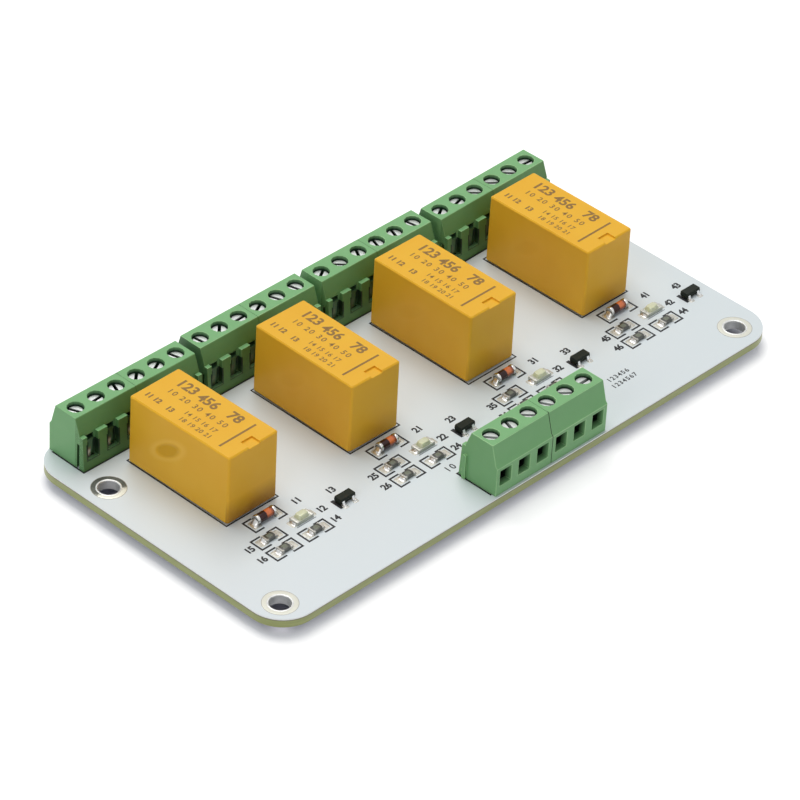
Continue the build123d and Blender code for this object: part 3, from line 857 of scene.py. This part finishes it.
copper_worn = (0.34, 0.20, 0.12, 1)
copper_brown = (0.16, 0.10, 0.07, 1)
# Painted glint low on the strips, and painted shade where the comb hides them.
contact_painted_glint = (0.86, 0.80, 0.75, 1)
contact_painted_shade = (0.052, 0.125, 0.058, 1)
# Per row: cover, the share of painted shade all over; shine, the metallic; glint, the share of painted glint
# low down.
contact_looks = {row: {"cover": 0.8, "shine": 0.2, "glint": 0.1} for row in terminal_rows}
contact_looks["output_1"] = {"cover": 0.0, "shine": 0.7, "glint": 0.9}
contact_looks["input"] = {"cover": 0.5, "shine": 0.4, "glint": 0.1}


def contact_finish(row):
    """Copper where the tin has worn through, with a painted glint low down by the row's glint, and
    painted shade in dark green: high up, on the right of each strip, and all over by its cover."""
    look = contact_looks[row]
    material, tree, shader, copper = grained_finish(
        f"contact_strip_{row}", {"Metallic": look["shine"]}, (copper_worn, copper_brown),
        scales=(1500.0, metal_grain_scale), grain=0.25, gloss=(0.24, 0.4),
    )
    _, _, z, dx = row_axes(tree, row)
    bright = times(tree, ramp(tree, z, board_top + 2.9, board_top + 2.3), look["glint"])
    high_up = ramp(tree, z, board_top + 2.6, board_top + 3.3)
    shaded = calc(tree, "MAXIMUM", high_up, ramp(tree, dx, -0.15, 0.15))
    dark = calc(tree, "MAXIMUM", shaded, look["cover"])
    coloured(tree, shader, copper["Color"], (contact_painted_glint, bright), (contact_painted_shade, dark))
    return material


clamp_metal = metal_finish("clamp_steel", ((0.30, 0.30, 0.29, 1), (0.20, 0.20, 0.19, 1)), 0.40)
for row in terminal_rows:
    paint(f"{row}_clamps", clamp_metal)
    paint(f"{row}_contacts", contact_finish(row))

# Relay covers.
# Deep covers moulded in amber-yellow plastic, satin with fine mould marks. A recess at one end of
# the top is the vent, and a shallow oval mark in the flank is left by an ejector pin.

cover_light = srgb(240, 186, 52)
cover_deep = srgb(232, 172, 38)
# Painted shade inside the ejector mark's dish and a painted highlight on its rim.
cover_dish_shade = srgb(214, 160, 20)
cover_rim_highlight = srgb(250, 200, 84)
# Painted shade low on the front face of each cover.
cover_shade = srgb(150, 98, 22)
cover_edge = 0.00018
half_cover_length = 9.85
front_skin = 0.35
shade_heights = (4.2, 0.5)
mark_spot = (-4.8, 2.0, 6.35)
mark_half_sizes = (2.55, 2.55, 1.05)
mark_tilt = radians(-33)
mark_strengths = [1.0, 0.12, 0.12, 0.12]
shade_strengths = [1.0, 0.35, 0.35, 0.35]


def vector_calc(tree, operation, *vectors):
    """Outputs of a Vector Math node whose vectors are plain or outputs of other nodes."""
    return add_node(tree, "ShaderNodeVectorMath", dict(enumerate(vectors)), operation=operation).outputs


def cover_finish(name, centre, mark, shade):
    """Amber plastic with the shallow oval mark: the distance from its middle, in shares of the
    oval's half lengths, sets painted shade inside, a painted highlight on the rim and a smooth dish
    in the normal. The front face has painted shade towards the board."""
    material, tree, shader, plastic = grained_finish(name, {
        "Specular IOR Level": 0.22, "Subsurface Weight": 0.08, "Subsurface Scale": 0.0015,
        "Subsurface Radius": (1.0, 0.55, 0.15),
    }, (cover_light, cover_deep), scales=(150.0, 2600.0), grain=0.2, gloss=(0.30, 0.42))
    place = own_place(tree)
    mark_middle = (centre[0] + mark_spot[0], centre[1] + mark_spot[1], board_top + mark_spot[2])
    local = add_node(tree, "ShaderNodeMapping", {
        "Vector": place, "Location": [value / 1000 for value in mark_middle],
        "Rotation": (mark_tilt, 0, 0), "Scale": [size / 1000 for size in mark_half_sizes],
    }, vector_type="TEXTURE")
    away = vector_calc(tree, "LENGTH", local.outputs["Vector"])["Value"]
    dish = ramp(tree, away, 0.7, 1.15, kind="SMOOTHSTEP")
    # Painted shade inside the dish and a painted highlight on its rim.
    inside = times(tree, calc(tree, "SUBTRACT", 1.0, dish), 0.85 * mark)
    rim = times(tree, ramp(tree, away, 1.0, 1.25, 0.0, 0.45 * mark), ramp(tree, away, 1.8, 1.35))
    _, y, z = split(tree, place)
    # Painted shade low on the front face, in patches.
    front = calc(tree, "LESS_THAN", y, (centre[1] - half_cover_length + front_skin) / 1000)
    low_down = ramp(tree, z, *((board_top + height) / 1000 for height in shade_heights))
    patches = calc(tree, "ADD", noise(tree, place, 260.0, 3.0), 0.3)
    coloured(
        tree, shader, plastic["Color"], (cover_dish_shade, inside), (cover_rim_highlight, rim),
        (cover_shade, times(tree, front, low_down, patches, shade)),
    )
    bump = add_node(tree, "ShaderNodeBump", {
        "Distance": 0.00012, "Strength": mark, "Height": dish, "Normal": plastic["Normal"],
    })
    tree.links.new(bump.outputs["Normal"], shader.inputs["Normal"])
    return material


for number, centre, mark, shade in zip(channels, relay_centres, mark_strengths, shade_strengths):
    finish = cover_finish(f"amber_cover_{number}", centre, mark, shade)
    node = f"relay_{number}_cover"
    moulded_copy(node, f"{node}_moulded", finish, cover_edge, sharp=25.0)

# Relay bases, pins and coils.
# A dark base sealed with resin closes each cover. Flat tinned pins stand in it, and the coil with
# its winding of lacquered copper wire is shut up inside.

base_plastic = plain_finish(
    "relay_base_plastic", {"Specular IOR Level": 0.35}, ((0.035, 0.030, 0.026, 1), (0.022, 0.020, 0.018, 1)),
    scales=(300.0, 2500.0), grain=0.3, gloss=(0.5, 0.65),
)
pin_metal = metal_finish("tinned_pin", ((0.72, 0.71, 0.68, 1), (0.58, 0.57, 0.54, 1)), 0.3)
winding = plain_finish(
    "copper_winding", {"Metallic": 0.6}, ((0.42, 0.15, 0.06, 1), (0.30, 0.10, 0.04, 1)),
    scales=(900.0, 4000.0), grain=0.4, gloss=(0.3, 0.4),
)
for number in channels:
    paint(f"relay_{number}_base", base_plastic)
    paint(f"relay_{number}_pins", pin_metal)
paint("relay_coils", winding)

# Relay print.
# Brown ink on each cover's top: a plain bar across the end with the vent, and plain numbers in
# lines along the rest.

ink_brown = srgb(114, 88, 42)
ink_brown_worn = srgb(156, 116, 50)
print_height = 0.012
bar_ends = [(-3.7, -6.78), (3.4, -6.78)]
bar_width = 0.34
print_rows = [
    ("123", 2.45, (2.45, 5.65), 0.07, 1.0), ("456", 2.45, (2.2, 1.3), 0.07, 1.0),
    ("78", 2.45, (2.4, -3.75), 0.07, 1.0), ("10 20 30 40 50", 1.4, (0.1, 1.35), 0.02, 1.32),
    ("11 12", 1.3, (-2.7, 7.2), 0.06, 1.0), ("13", 1.3, (-2.85, 3.75), 0.06, 1.0),
    ("14 15 16 17", 1.15, (-1.75, -1.15), 0.02, 1.1), ("18 19 20 21", 1.15, (-3.25, -1.6), 0.02, 1.1),
]
covers_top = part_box("relay_1_cover")[1].z * 1000
relay_turns = [radians(0.7), radians(-0.8), radians(-0.25), radians(0.25)]
print_marks = []
for centre, turn in zip(relay_centres, relay_turns):
    print_marks.append(strip(spun(bar_ends, turn, centre), bar_width, covers_top, print_height))
    for text, size, spot, bold, spacing in print_rows:
        print_marks.append(numerals(
            text, size, spun(spot, turn, centre), covers_top, print_height, turn - pi / 2, bold, spacing,
        ))
cover_ink = plain_finish(
    "cover_ink", {"Specular IOR Level": 0.3}, (ink_brown, ink_brown_worn), scales=(1600.0, 6000.0),
    grain=0.2, gloss=(0.42, 0.55),
)
make_piece("relay_print", print_marks, cover_ink, smooth=20)

# Solder.
# Bright tin alloy that flowed round each joint: a pad in front of each end of a chip part with a
# hollow slope up to the part, and a cone round every pin on the underside.

resistor_joint = (1.35, (0.78, 0.78), 0.99, (0.62, 0.6, 0.42))
diode_joint = ((0.3, diode_y), 2.0, (0.75, 0.85), 0.15, 1.74, (0.8, 0.66, 0.85))
light_joint = ((4.0, -10.1), 1.75, (0.6, 0.72), 4.0, 1.58, (0.5, 0.62, 0.38))
transistor_place = (11.4, -11.15)
transistor_feet = [(-0.95, -1), (0.95, -1), (0.0, 1)]
foot_reach = 1.15
foot_pad = (0.42, 0.42)
foot_slope = (0.28, 0.3, 0.2)
contact_pin_reach = 2.9
relay_pins = [(x, y) for x in (-3.81, 3.81) for y in (-8.89, -1.27, 3.81, 8.89)]
cone_profile = [
    (1.0, 0.002), (1.02, -0.03), (0.86, -0.12), (0.66, -0.34), (0.54, -0.7), (0.50, -0.98), (0.30, -1.02),
    (near_axis, -1.02),
]
small_cone_share = 0.86
solder = metal_finish(
    "solder", ((0.95, 0.95, 0.94, 1), (0.24, 0.24, 0.23, 1)), 0.26, metallic=0.8, patch_scale=2600.0,
    grain=0.7,
)
pad_tin = metal_finish(
    "tinned_pad", ((0.72, 0.71, 0.65, 1), (0.26, 0.26, 0.22, 1)), 0.42, metallic=0.4, patch_scale=1900.0
)


def fillet_patch(x, y, side, reach, half_width, height, across=False, steps=8, columns=11):
    """Solder slope beside a part's end, over the share s of its reach, 0 to 1, and the share w of
    its half width, -1 to 1: height 0.03 + h (1 - s)^2.2 (1 - 0.85 w^4), distance s (1 - 0.18 w^2 s)
    of the reach, and sideways w (1 - 0.12 s) of the half width. Across turns it from X to Y."""
    s, w = np.meshgrid(np.linspace(0, 1, steps), np.linspace(-1, 1, columns), indexing="ij")
    away = side * reach * s * (1 - 0.18 * w ** 2 * s)
    sideways = half_width * w * (1 - 0.12 * s)
    level = board_top + 0.03 + height * (1 - s) ** 2.2 * (1 - 0.85 * w ** 4)
    plan = (sideways, away) if across else (away, sideways)
    top = np.stack([x + plan[0], y + plan[1], level], axis=-1).reshape(-1, 3)
    base = top.copy()
    base[:, 2] = board_top - let_in
    count = steps * columns
    faces = grid_faces(steps, columns)
    faces += [[count + k for k in face[::-1]] for face in grid_faces(steps, columns)]
    rim = list(range(columns))
    rim += [r * columns + columns - 1 for r in range(1, steps)]
    rim += [(steps - 1) * columns + k for k in range(columns - 2, -1, -1)]
    rim += [r * columns for r in range(steps - 2, 0, -1)]
    for here, there in zip(rim, rim[1:] + rim[:1]):
        faces.append([here, count + here, count + there, there])
    return np.concatenate([top, base]), faces


def soft_outline(power, sides=40):
    """Points round a super-ellipse of half sizes 1: |x|^power + |y|^power = 1."""
    t = np.arange(sides) * 2 * pi / sides
    ring = np.stack([np.cos(t), np.sin(t)], axis=1)
    return ring * (np.abs(ring) ** power).sum(axis=1, keepdims=True) ** (-1 / power)


def pad_patch(x, y, half_sizes):
    """Thin tinned pad with soft corners: a super-ellipse of power 6, slightly domed."""
    outline = soft_outline(6) * half_sizes
    levels = ((1.0, -let_in), (1.0, 0.018), (0.9, 0.034), (0.4, 0.04))
    return stacked([(outline * share + (x, y), board_top + height) for share, height in levels])


joints = [(spot, *resistor_joint[:2], spot[0], *resistor_joint[2:]) for spot in resistor_places]
joints += [diode_joint, light_joint]
slopes, pads, cones = [], [], []
for x, _ in relay_centres:
    for (pad_x, part_y), pad_away, pad_half, slope_x, slope_away, slope in joints:
        for side in (-1, 1):
            pads.append(pad_patch(x + pad_x + side * pad_away, part_y, pad_half))
            slopes.append(fillet_patch(x + slope_x + side * slope_away, part_y, side, *slope))
    for lead_x, side in transistor_feet:
        foot_x = x + transistor_place[0] + lead_x
        foot_y = transistor_place[1] + side * foot_reach
        pads.append(pad_patch(foot_x, foot_y, foot_pad))
        slopes.append(fillet_patch(foot_x, foot_y + side * 0.06, side, *foot_slope, across=True))
for row in terminal_rows:
    for spot in pole_spots(row, -wire_side[row] * contact_pin_reach):
        cones.append(turned(cone_profile, (*spot, board_bottom), sides=20, closed=False))
small_cone = [(r * small_cone_share, h) for r, h in cone_profile]
for centre, turn in zip(relay_centres, relay_turns):
    for spot in spun(relay_pins, turn, centre):
        cones.append(turned(small_cone, (*spot, board_bottom), sides=18, closed=False))
make_piece("tinned_pads", pads, pad_tin)
make_piece("solder_slopes", slopes, solder)
make_piece("solder_cones", cones, solder, smooth=60)

# Diodes.
# A sealed glass tube, orange where the die shows through and left bright there as a painted
# highlight, with painted shade low down and at its ends, a dark band at one end, between two tinned
# studs. Each lies in its brackets in front of its relay.

amber_glass = (0.92, 0.26, 0.08, 1)
amber_mid = (0.78, 0.16, 0.04, 1)
# Painted shade of the glass low down and at its ends.
amber_shade = (0.12, 0.018, 0.010, 1)
highlight_place = 0.42
highlight_heights = (0.64, 1.19)
glass_radius = 0.69
band_radius = 0.70
band_start = 0.02
band_length = 1.2
stud_radius = 0.74
stud_length = 0.45


def barrel(start, end, radius, rounding, centre, steps=5):
    """Round bar along X: straight sides, and ends turned in by a quarter circle of the rounding."""
    t = np.linspace(0, pi / 2, steps)
    inner = radius - rounding
    first = np.stack([inner + rounding * np.sin(t), start + rounding - rounding * np.cos(t)], axis=1)
    last = np.stack([inner + rounding * np.cos(t), end - rounding + rounding * np.sin(t)], axis=1)
    profile = np.concatenate([[(near_axis, start)], first, last, [(near_axis, end)]])
    return turned(profile, centre, axis="x", sides=32)


def glass_finish(number, middle):
    """Amber glass left bright high up over the die as a painted highlight, with painted shade low down and
    towards its ends.
    """
    material, tree, shader, glass = grained_finish(f"amber_glass_{number}", {
        "Coat Weight": 0.35, "Coat Roughness": 0.06, "Specular IOR Level": 0.3,
    }, (amber_glass, amber_mid), scales=(1300.0, 5000.0), grain=0.05, gloss=(0.08, 0.16))
    x, _, z = split(tree, own_place(tree))
    away = calc(tree, "ABSOLUTE", calc(tree, "SUBTRACT", x, (middle + highlight_place) / 1000))
    high_up = ramp(tree, z, *((board_top + height) / 1000 for height in highlight_heights))
    # Painted shade everywhere but high over the die.
    glass_shade = calc(tree, "SUBTRACT", 1.0, times(tree, ramp(tree, away, 0.00085, 0.0003), high_up))
    coloured(tree, shader, glass["Color"], (amber_shade, glass_shade))
    return material


band_ink = plain_finish(
    "polarity_band", {"Coat Weight": 0.2, "Coat Roughness": 0.08, "Specular IOR Level": 0.2},
    ((0.020, 0.005, 0.005, 1), (0.05, 0.010, 0.008, 1)), scales=(900.0, 5000.0), grain=0.1, gloss=(0.2, 0.3),
)
stud_metal = metal_finish(
    "tinned_stud", ((0.86, 0.86, 0.85, 1), (0.34, 0.34, 0.33, 1)), 0.2, patch_scale=1800.0
)
studs, bands = [], []
for number in channels:
    low, high = np.array(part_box(f"diode_{number}")) * 1000
    middle = (low + high) / 2
    axis = (0, middle[1], middle[2])
    tube = barrel(low[0], high[0], glass_radius, 0.08, axis)
    piece = make_piece(f"diode_{number}_glass", [tube], glass_finish(number, middle[0]))
    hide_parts(f"diode_{number}")
    band_low = low[0] + band_start
    bands.append(barrel(band_low, band_low + band_length, band_radius, 0.01, axis))
    for start in (low[0] - stud_length, high[0]):
        studs.append(barrel(start, start + stud_length, stud_radius, 0.12, axis))
make_piece("diode_bands", bands, band_ink)
piece = make_piece("diode_studs", studs, stud_metal)
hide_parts("diode_end_caps")

# Status lights.
# A pale carrier with tinned ends, and on it a moulded block of clear, slightly yellow resin that
# shows the cup below.

resin_height = 0.6
resin_half = (1.0, 0.7)
cup_shift = -0.1
cup_half = (0.62, 0.5)
cup_height = 0.03
end_away = 1.36
end_half = (0.27, 0.82)
end_depth = 0.5
end_rise = 0.03


def soft_block(x, y, low, high, half_sizes, taper, rounding):
    """Block with soft corners: super-ellipse outlines of power 5, carried up with a taper, the top
    edge turned in by a quarter circle of the rounding and closed flat."""
    levels = [(0.0, low), (taper * 0.9, high - rounding)]
    for a in np.linspace(0, pi / 2, 5)[1:]:
        levels.append((taper + rounding * (1 - cos(a)), high - rounding + rounding * sin(a)))
    outline = soft_outline(5)
    return stacked([(outline * (np.array(half_sizes) - inset) + (x, y), height) for inset, height in levels])


carrier = plain_finish(
    "light_carrier", {"Specular IOR Level": 0.4}, ((0.60, 0.63, 0.55, 1), (0.44, 0.47, 0.38, 1)),
    scales=(900.0, 4000.0), grain=0.2, gloss=(0.35, 0.5),
)
resin = plain_finish(
    "clear_resin", {"Transmission Weight": 0.25, "IOR": 1.45, "Coat Weight": 0.6, "Coat Roughness": 0.1},
    ((0.76, 0.80, 0.44, 1), (0.95, 0.97, 0.76, 1)), scales=(2400.0, 5000.0), grain=0.1, gloss=(0.15, 0.25),
)
cup_metal = metal_finish(
    "light_cup", ((0.30, 0.33, 0.16, 1), (0.86, 0.90, 0.58, 1)), 0.3, metallic=0.3, patch_scale=2600.0
)
end_tin = metal_finish(
    "light_end_tin", ((0.86, 0.86, 0.80, 1), (0.12, 0.12, 0.10, 1)), 0.35, metallic=0.5, patch_scale=2400.0
)
lenses, light_ends, cups = [], [], []
for number in channels:
    x, y = middle_of(f"led_{number}")
    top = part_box(f"led_{number}")[1].z * 1000
    paint(f"led_{number}", carrier)
    lenses.append(soft_block(x, y, top, top + resin_height, resin_half, taper=0.16, rounding=0.12))
    cups.append(soft_block(x + cup_shift, y, top, top + cup_height, cup_half, taper=0.0, rounding=0.01))
    low, high = top - end_depth, top + end_rise
    for side in (-1, 1):
        light_ends.append(soft_block(x + side * end_away, y, low, high, end_half, taper=0.0, rounding=0.03))
piece = make_piece("led_resin_blocks", lenses, resin)
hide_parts("led_lenses")
make_piece("led_cups", cups, cup_metal)
make_piece("led_tinned_ends", light_ends, end_tin)

# Transistors.
# Black moulded bodies with a matt, faintly pitted skin, each on three bent leads that are tinned
# and soldered at the foot.

body_edge = 0.00006
black_mould = plain_finish(
    "black_moulding", {"Specular IOR Level": 0.14}, ((0.005, 0.008, 0.005, 1), (0.013, 0.018, 0.012, 1)),
    scales=(700.0, 5200.0), grain=0.5, gloss=(0.42, 0.58),
)
for number in channels:
    node = f"transistor_{number}"
    moulded_copy(node, f"{node}_moulded", black_mould, body_edge, sharp=20.0)
lead_tin = metal_finish("tinned_lead", ((0.96, 0.96, 0.96, 1), (0.80, 0.80, 0.80, 1)), 0.25, metallic=0.6)
paint("transistor_leads", lead_tin)

# Chip resistors.
# Ceramic chips with a dark glaze on top and tinned ends that wrap round them. The glaze is a
# little domed and stops short of the ends, and a pale mark is printed on it.

chip_edge = 0.00005
chip_gloss = {"Coat Weight": 0.3, "Coat Roughness": 0.15}
glaze_levels = (-0.04, 0.012)
glaze_half = (0.80, 0.59)
mark_levels = (0.008, 0.020)
mark_half = (0.44, 0.36)
chip_body, glaze = (
    plain_finish(name, chip_gloss, tones, scales=(1900.0, 4800.0), grain=0.3, gloss=(0.25, 0.4))
    for name, tones in (
        ("chip_ceramic", ((0.050, 0.054, 0.046, 1), (0.095, 0.100, 0.085, 1))),
        ("chip_glaze", ((0.013, 0.014, 0.009, 1), (0.030, 0.032, 0.021, 1))),
    )
)
chip_mark = plain_finish(
    "chip_mark", {"Specular IOR Level": 0.3}, ((0.20, 0.22, 0.17, 1), (0.11, 0.12, 0.09, 1)),
    scales=(3000.0, 4800.0), grain=0.2, gloss=(0.4, 0.5),
)
cap_metal = metal_finish(
    "tinned_cap", ((0.62, 0.61, 0.57, 1), (0.20, 0.20, 0.18, 1)), 0.34, metallic=0.6, patch_scale=1700.0
)
for number in channels:
    node = f"channel_{number}_resistors"
    moulded_copy(node, f"{node}_glazed", chip_body, chip_edge, sharp=30.0)
moulded_copy("resistor_end_caps", "resistor_tinned_ends", cap_metal, chip_edge, sharp=30.0)
chip_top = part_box("resistor_end_caps")[1].z * 1000
glaze_low, glaze_high = (chip_top + level for level in glaze_levels)
mark_low, mark_high = (chip_top + level for level in mark_levels)
glazes, marks = [], []
for x, _ in relay_centres:
    for part_x, y in resistor_places:
        spot = (x + part_x, y)
        glazes.append(soft_block(*spot, glaze_low, glaze_high, glaze_half, taper=0.02, rounding=0.012))
        marks.append(soft_block(*spot, mark_low, mark_high, mark_half, taper=0.0, rounding=0.004))
make_piece("resistor_glazes", glazes, glaze)
make_piece("resistor_marks", marks, chip_mark)

# Floor, world and lamps.
# A pale table that shows as white to the camera but keeps the shadow, with a painted shadow under
# and close round the board, a plain white room, and the soft lamps of a studio: one broad lamp
# above and two weaker ones from the left and the front.

floor_half = 1.5
floor_pale = (0.86, 0.86, 0.87, 1)
floor_open = (0.86, 0.855, 0.845, 1)
# Painted shadow of the floor under and close round the board.
floor_painted_shadow = (0.36, 0.345, 0.43, 1)
floor_glow = (0.95, 0.965, 1.0, 1)
glow_strength = 0.36
shadow_half = (0.046, 0.020, 0)
shadow_reach = (0.0018, 0.0066)
room_light = (0.94, 0.97, 1.0, 1)
room_strength = 0.25
backdrop_white = (1, 1, 1, 1)


def two_surfaces(tree, for_light, for_sight, output_kind):
    """Ends a tree with two shaders: one lights the object, and the other is what the camera, gloss
    and glass see."""
    rays = add_node(tree, "ShaderNodeLightPath").outputs
    seen = calc(tree, "MAXIMUM", rays["Is Camera Ray"], rays["Is Glossy Ray"])
    seen = calc(tree, "MAXIMUM", seen, rays["Is Transmission Ray"])
    choose = add_node(tree, "ShaderNodeMixShader", {"Fac": seen, 1: for_light, 2: for_sight})
    add_node(tree, output_kind, {"Surface": choose.outputs["Shader"]})


def floor_finish():
    """Pale floor whose seen side glows, except close to the board, where a shadow is painted. There the
    distance outside the board's middle part, the length of max(|place| - half size, 0), sets how far
    the painted shadow darkens its colour and dims its glow."""
    material = bpy.data.materials.new("studio_floor")
    material.use_nodes = True
    tree = material.node_tree
    tree.nodes.clear()
    outside = vector_calc(tree, "ABSOLUTE", own_place(tree))["Vector"]
    outside = vector_calc(tree, "SUBTRACT", outside, shadow_half)["Vector"]
    outside = vector_calc(tree, "MAXIMUM", outside, (0, 0, 0))["Vector"]
    # Share of the floor outside the painted shadow.
    unshadowed_share = ramp(tree, vector_calc(tree, "LENGTH", outside)["Value"], *shadow_reach, kind="SMOOTHSTEP")
    pale = add_node(tree, "ShaderNodeBsdfDiffuse", {"Color": floor_pale})
    seen = add_node(tree, "ShaderNodeBsdfDiffuse")
    coloured(tree, seen, floor_painted_shadow, (floor_open, unshadowed_share), socket="Color")
    glow = add_node(tree, "ShaderNodeEmission", {
        "Color": floor_glow, "Strength": times(tree, unshadowed_share, glow_strength),
    })
    lit = add_node(tree, "ShaderNodeAddShader", {0: seen.outputs["BSDF"], 1: glow.outputs["Emission"]})
    two_surfaces(tree, pale.outputs["BSDF"], lit.outputs["Shader"], "ShaderNodeOutputMaterial")
    return material


floor_mesh = bpy.data.meshes.new("studio_floor")
floor_corners = [(sx * floor_half, sy * floor_half, 0) for sx, sy in ((-1, -1), (1, -1), (1, 1), (-1, 1))]
floor_mesh.from_pydata(floor_corners, [], [[0, 1, 2, 3]])
floor_mesh.materials.append(floor_finish())
floor = bpy.data.objects.new("studio_floor", floor_mesh)
bpy.context.scene.collection.objects.link(floor)

room = bpy.data.worlds.new("studio_room")
bpy.context.scene.world = room
room.use_nodes = True
room_tree = room.node_tree
room_tree.nodes.clear()
ambient = add_node(room_tree, "ShaderNodeBackground", {"Color": room_light, "Strength": room_strength})
backdrop = add_node(room_tree, "ShaderNodeBackground", {"Color": backdrop_white, "Strength": 1.0})
two_surfaces(
    room_tree, ambient.outputs["Background"], backdrop.outputs["Background"], "ShaderNodeOutputWorld"
)


def lamp(name, spot, size, power, colour):
    """Square soft lamp at a spot, turned to face the middle of the board."""
    light = bpy.data.lights.new(name, "AREA")
    light.shape = "SQUARE"
    light.size = size
    light.energy = power
    light.color = colour
    holder = bpy.data.objects.new(name, light)
    bpy.context.scene.collection.objects.link(holder)
    holder.location = spot
    holder.rotation_mode = "QUATERNION"
    holder.rotation_quaternion = (camera_target - Vector(spot)).to_track_quat("-Z", "Y")


lamp("lamp_above", (0.10, 0.28, 0.86), size=0.7, power=6.4, colour=(1.0, 0.985, 0.975))
lamp("lamp_left", (-0.75, -0.10, 0.40), size=0.5, power=1.15, colour=(0.97, 0.98, 1.0))
lamp("lamp_front", (0.10, -0.80, 0.45), size=0.5, power=0.8, colour=(0.98, 0.98, 1.0))

bpy.context.scene.view_settings.view_transform = "Standard"
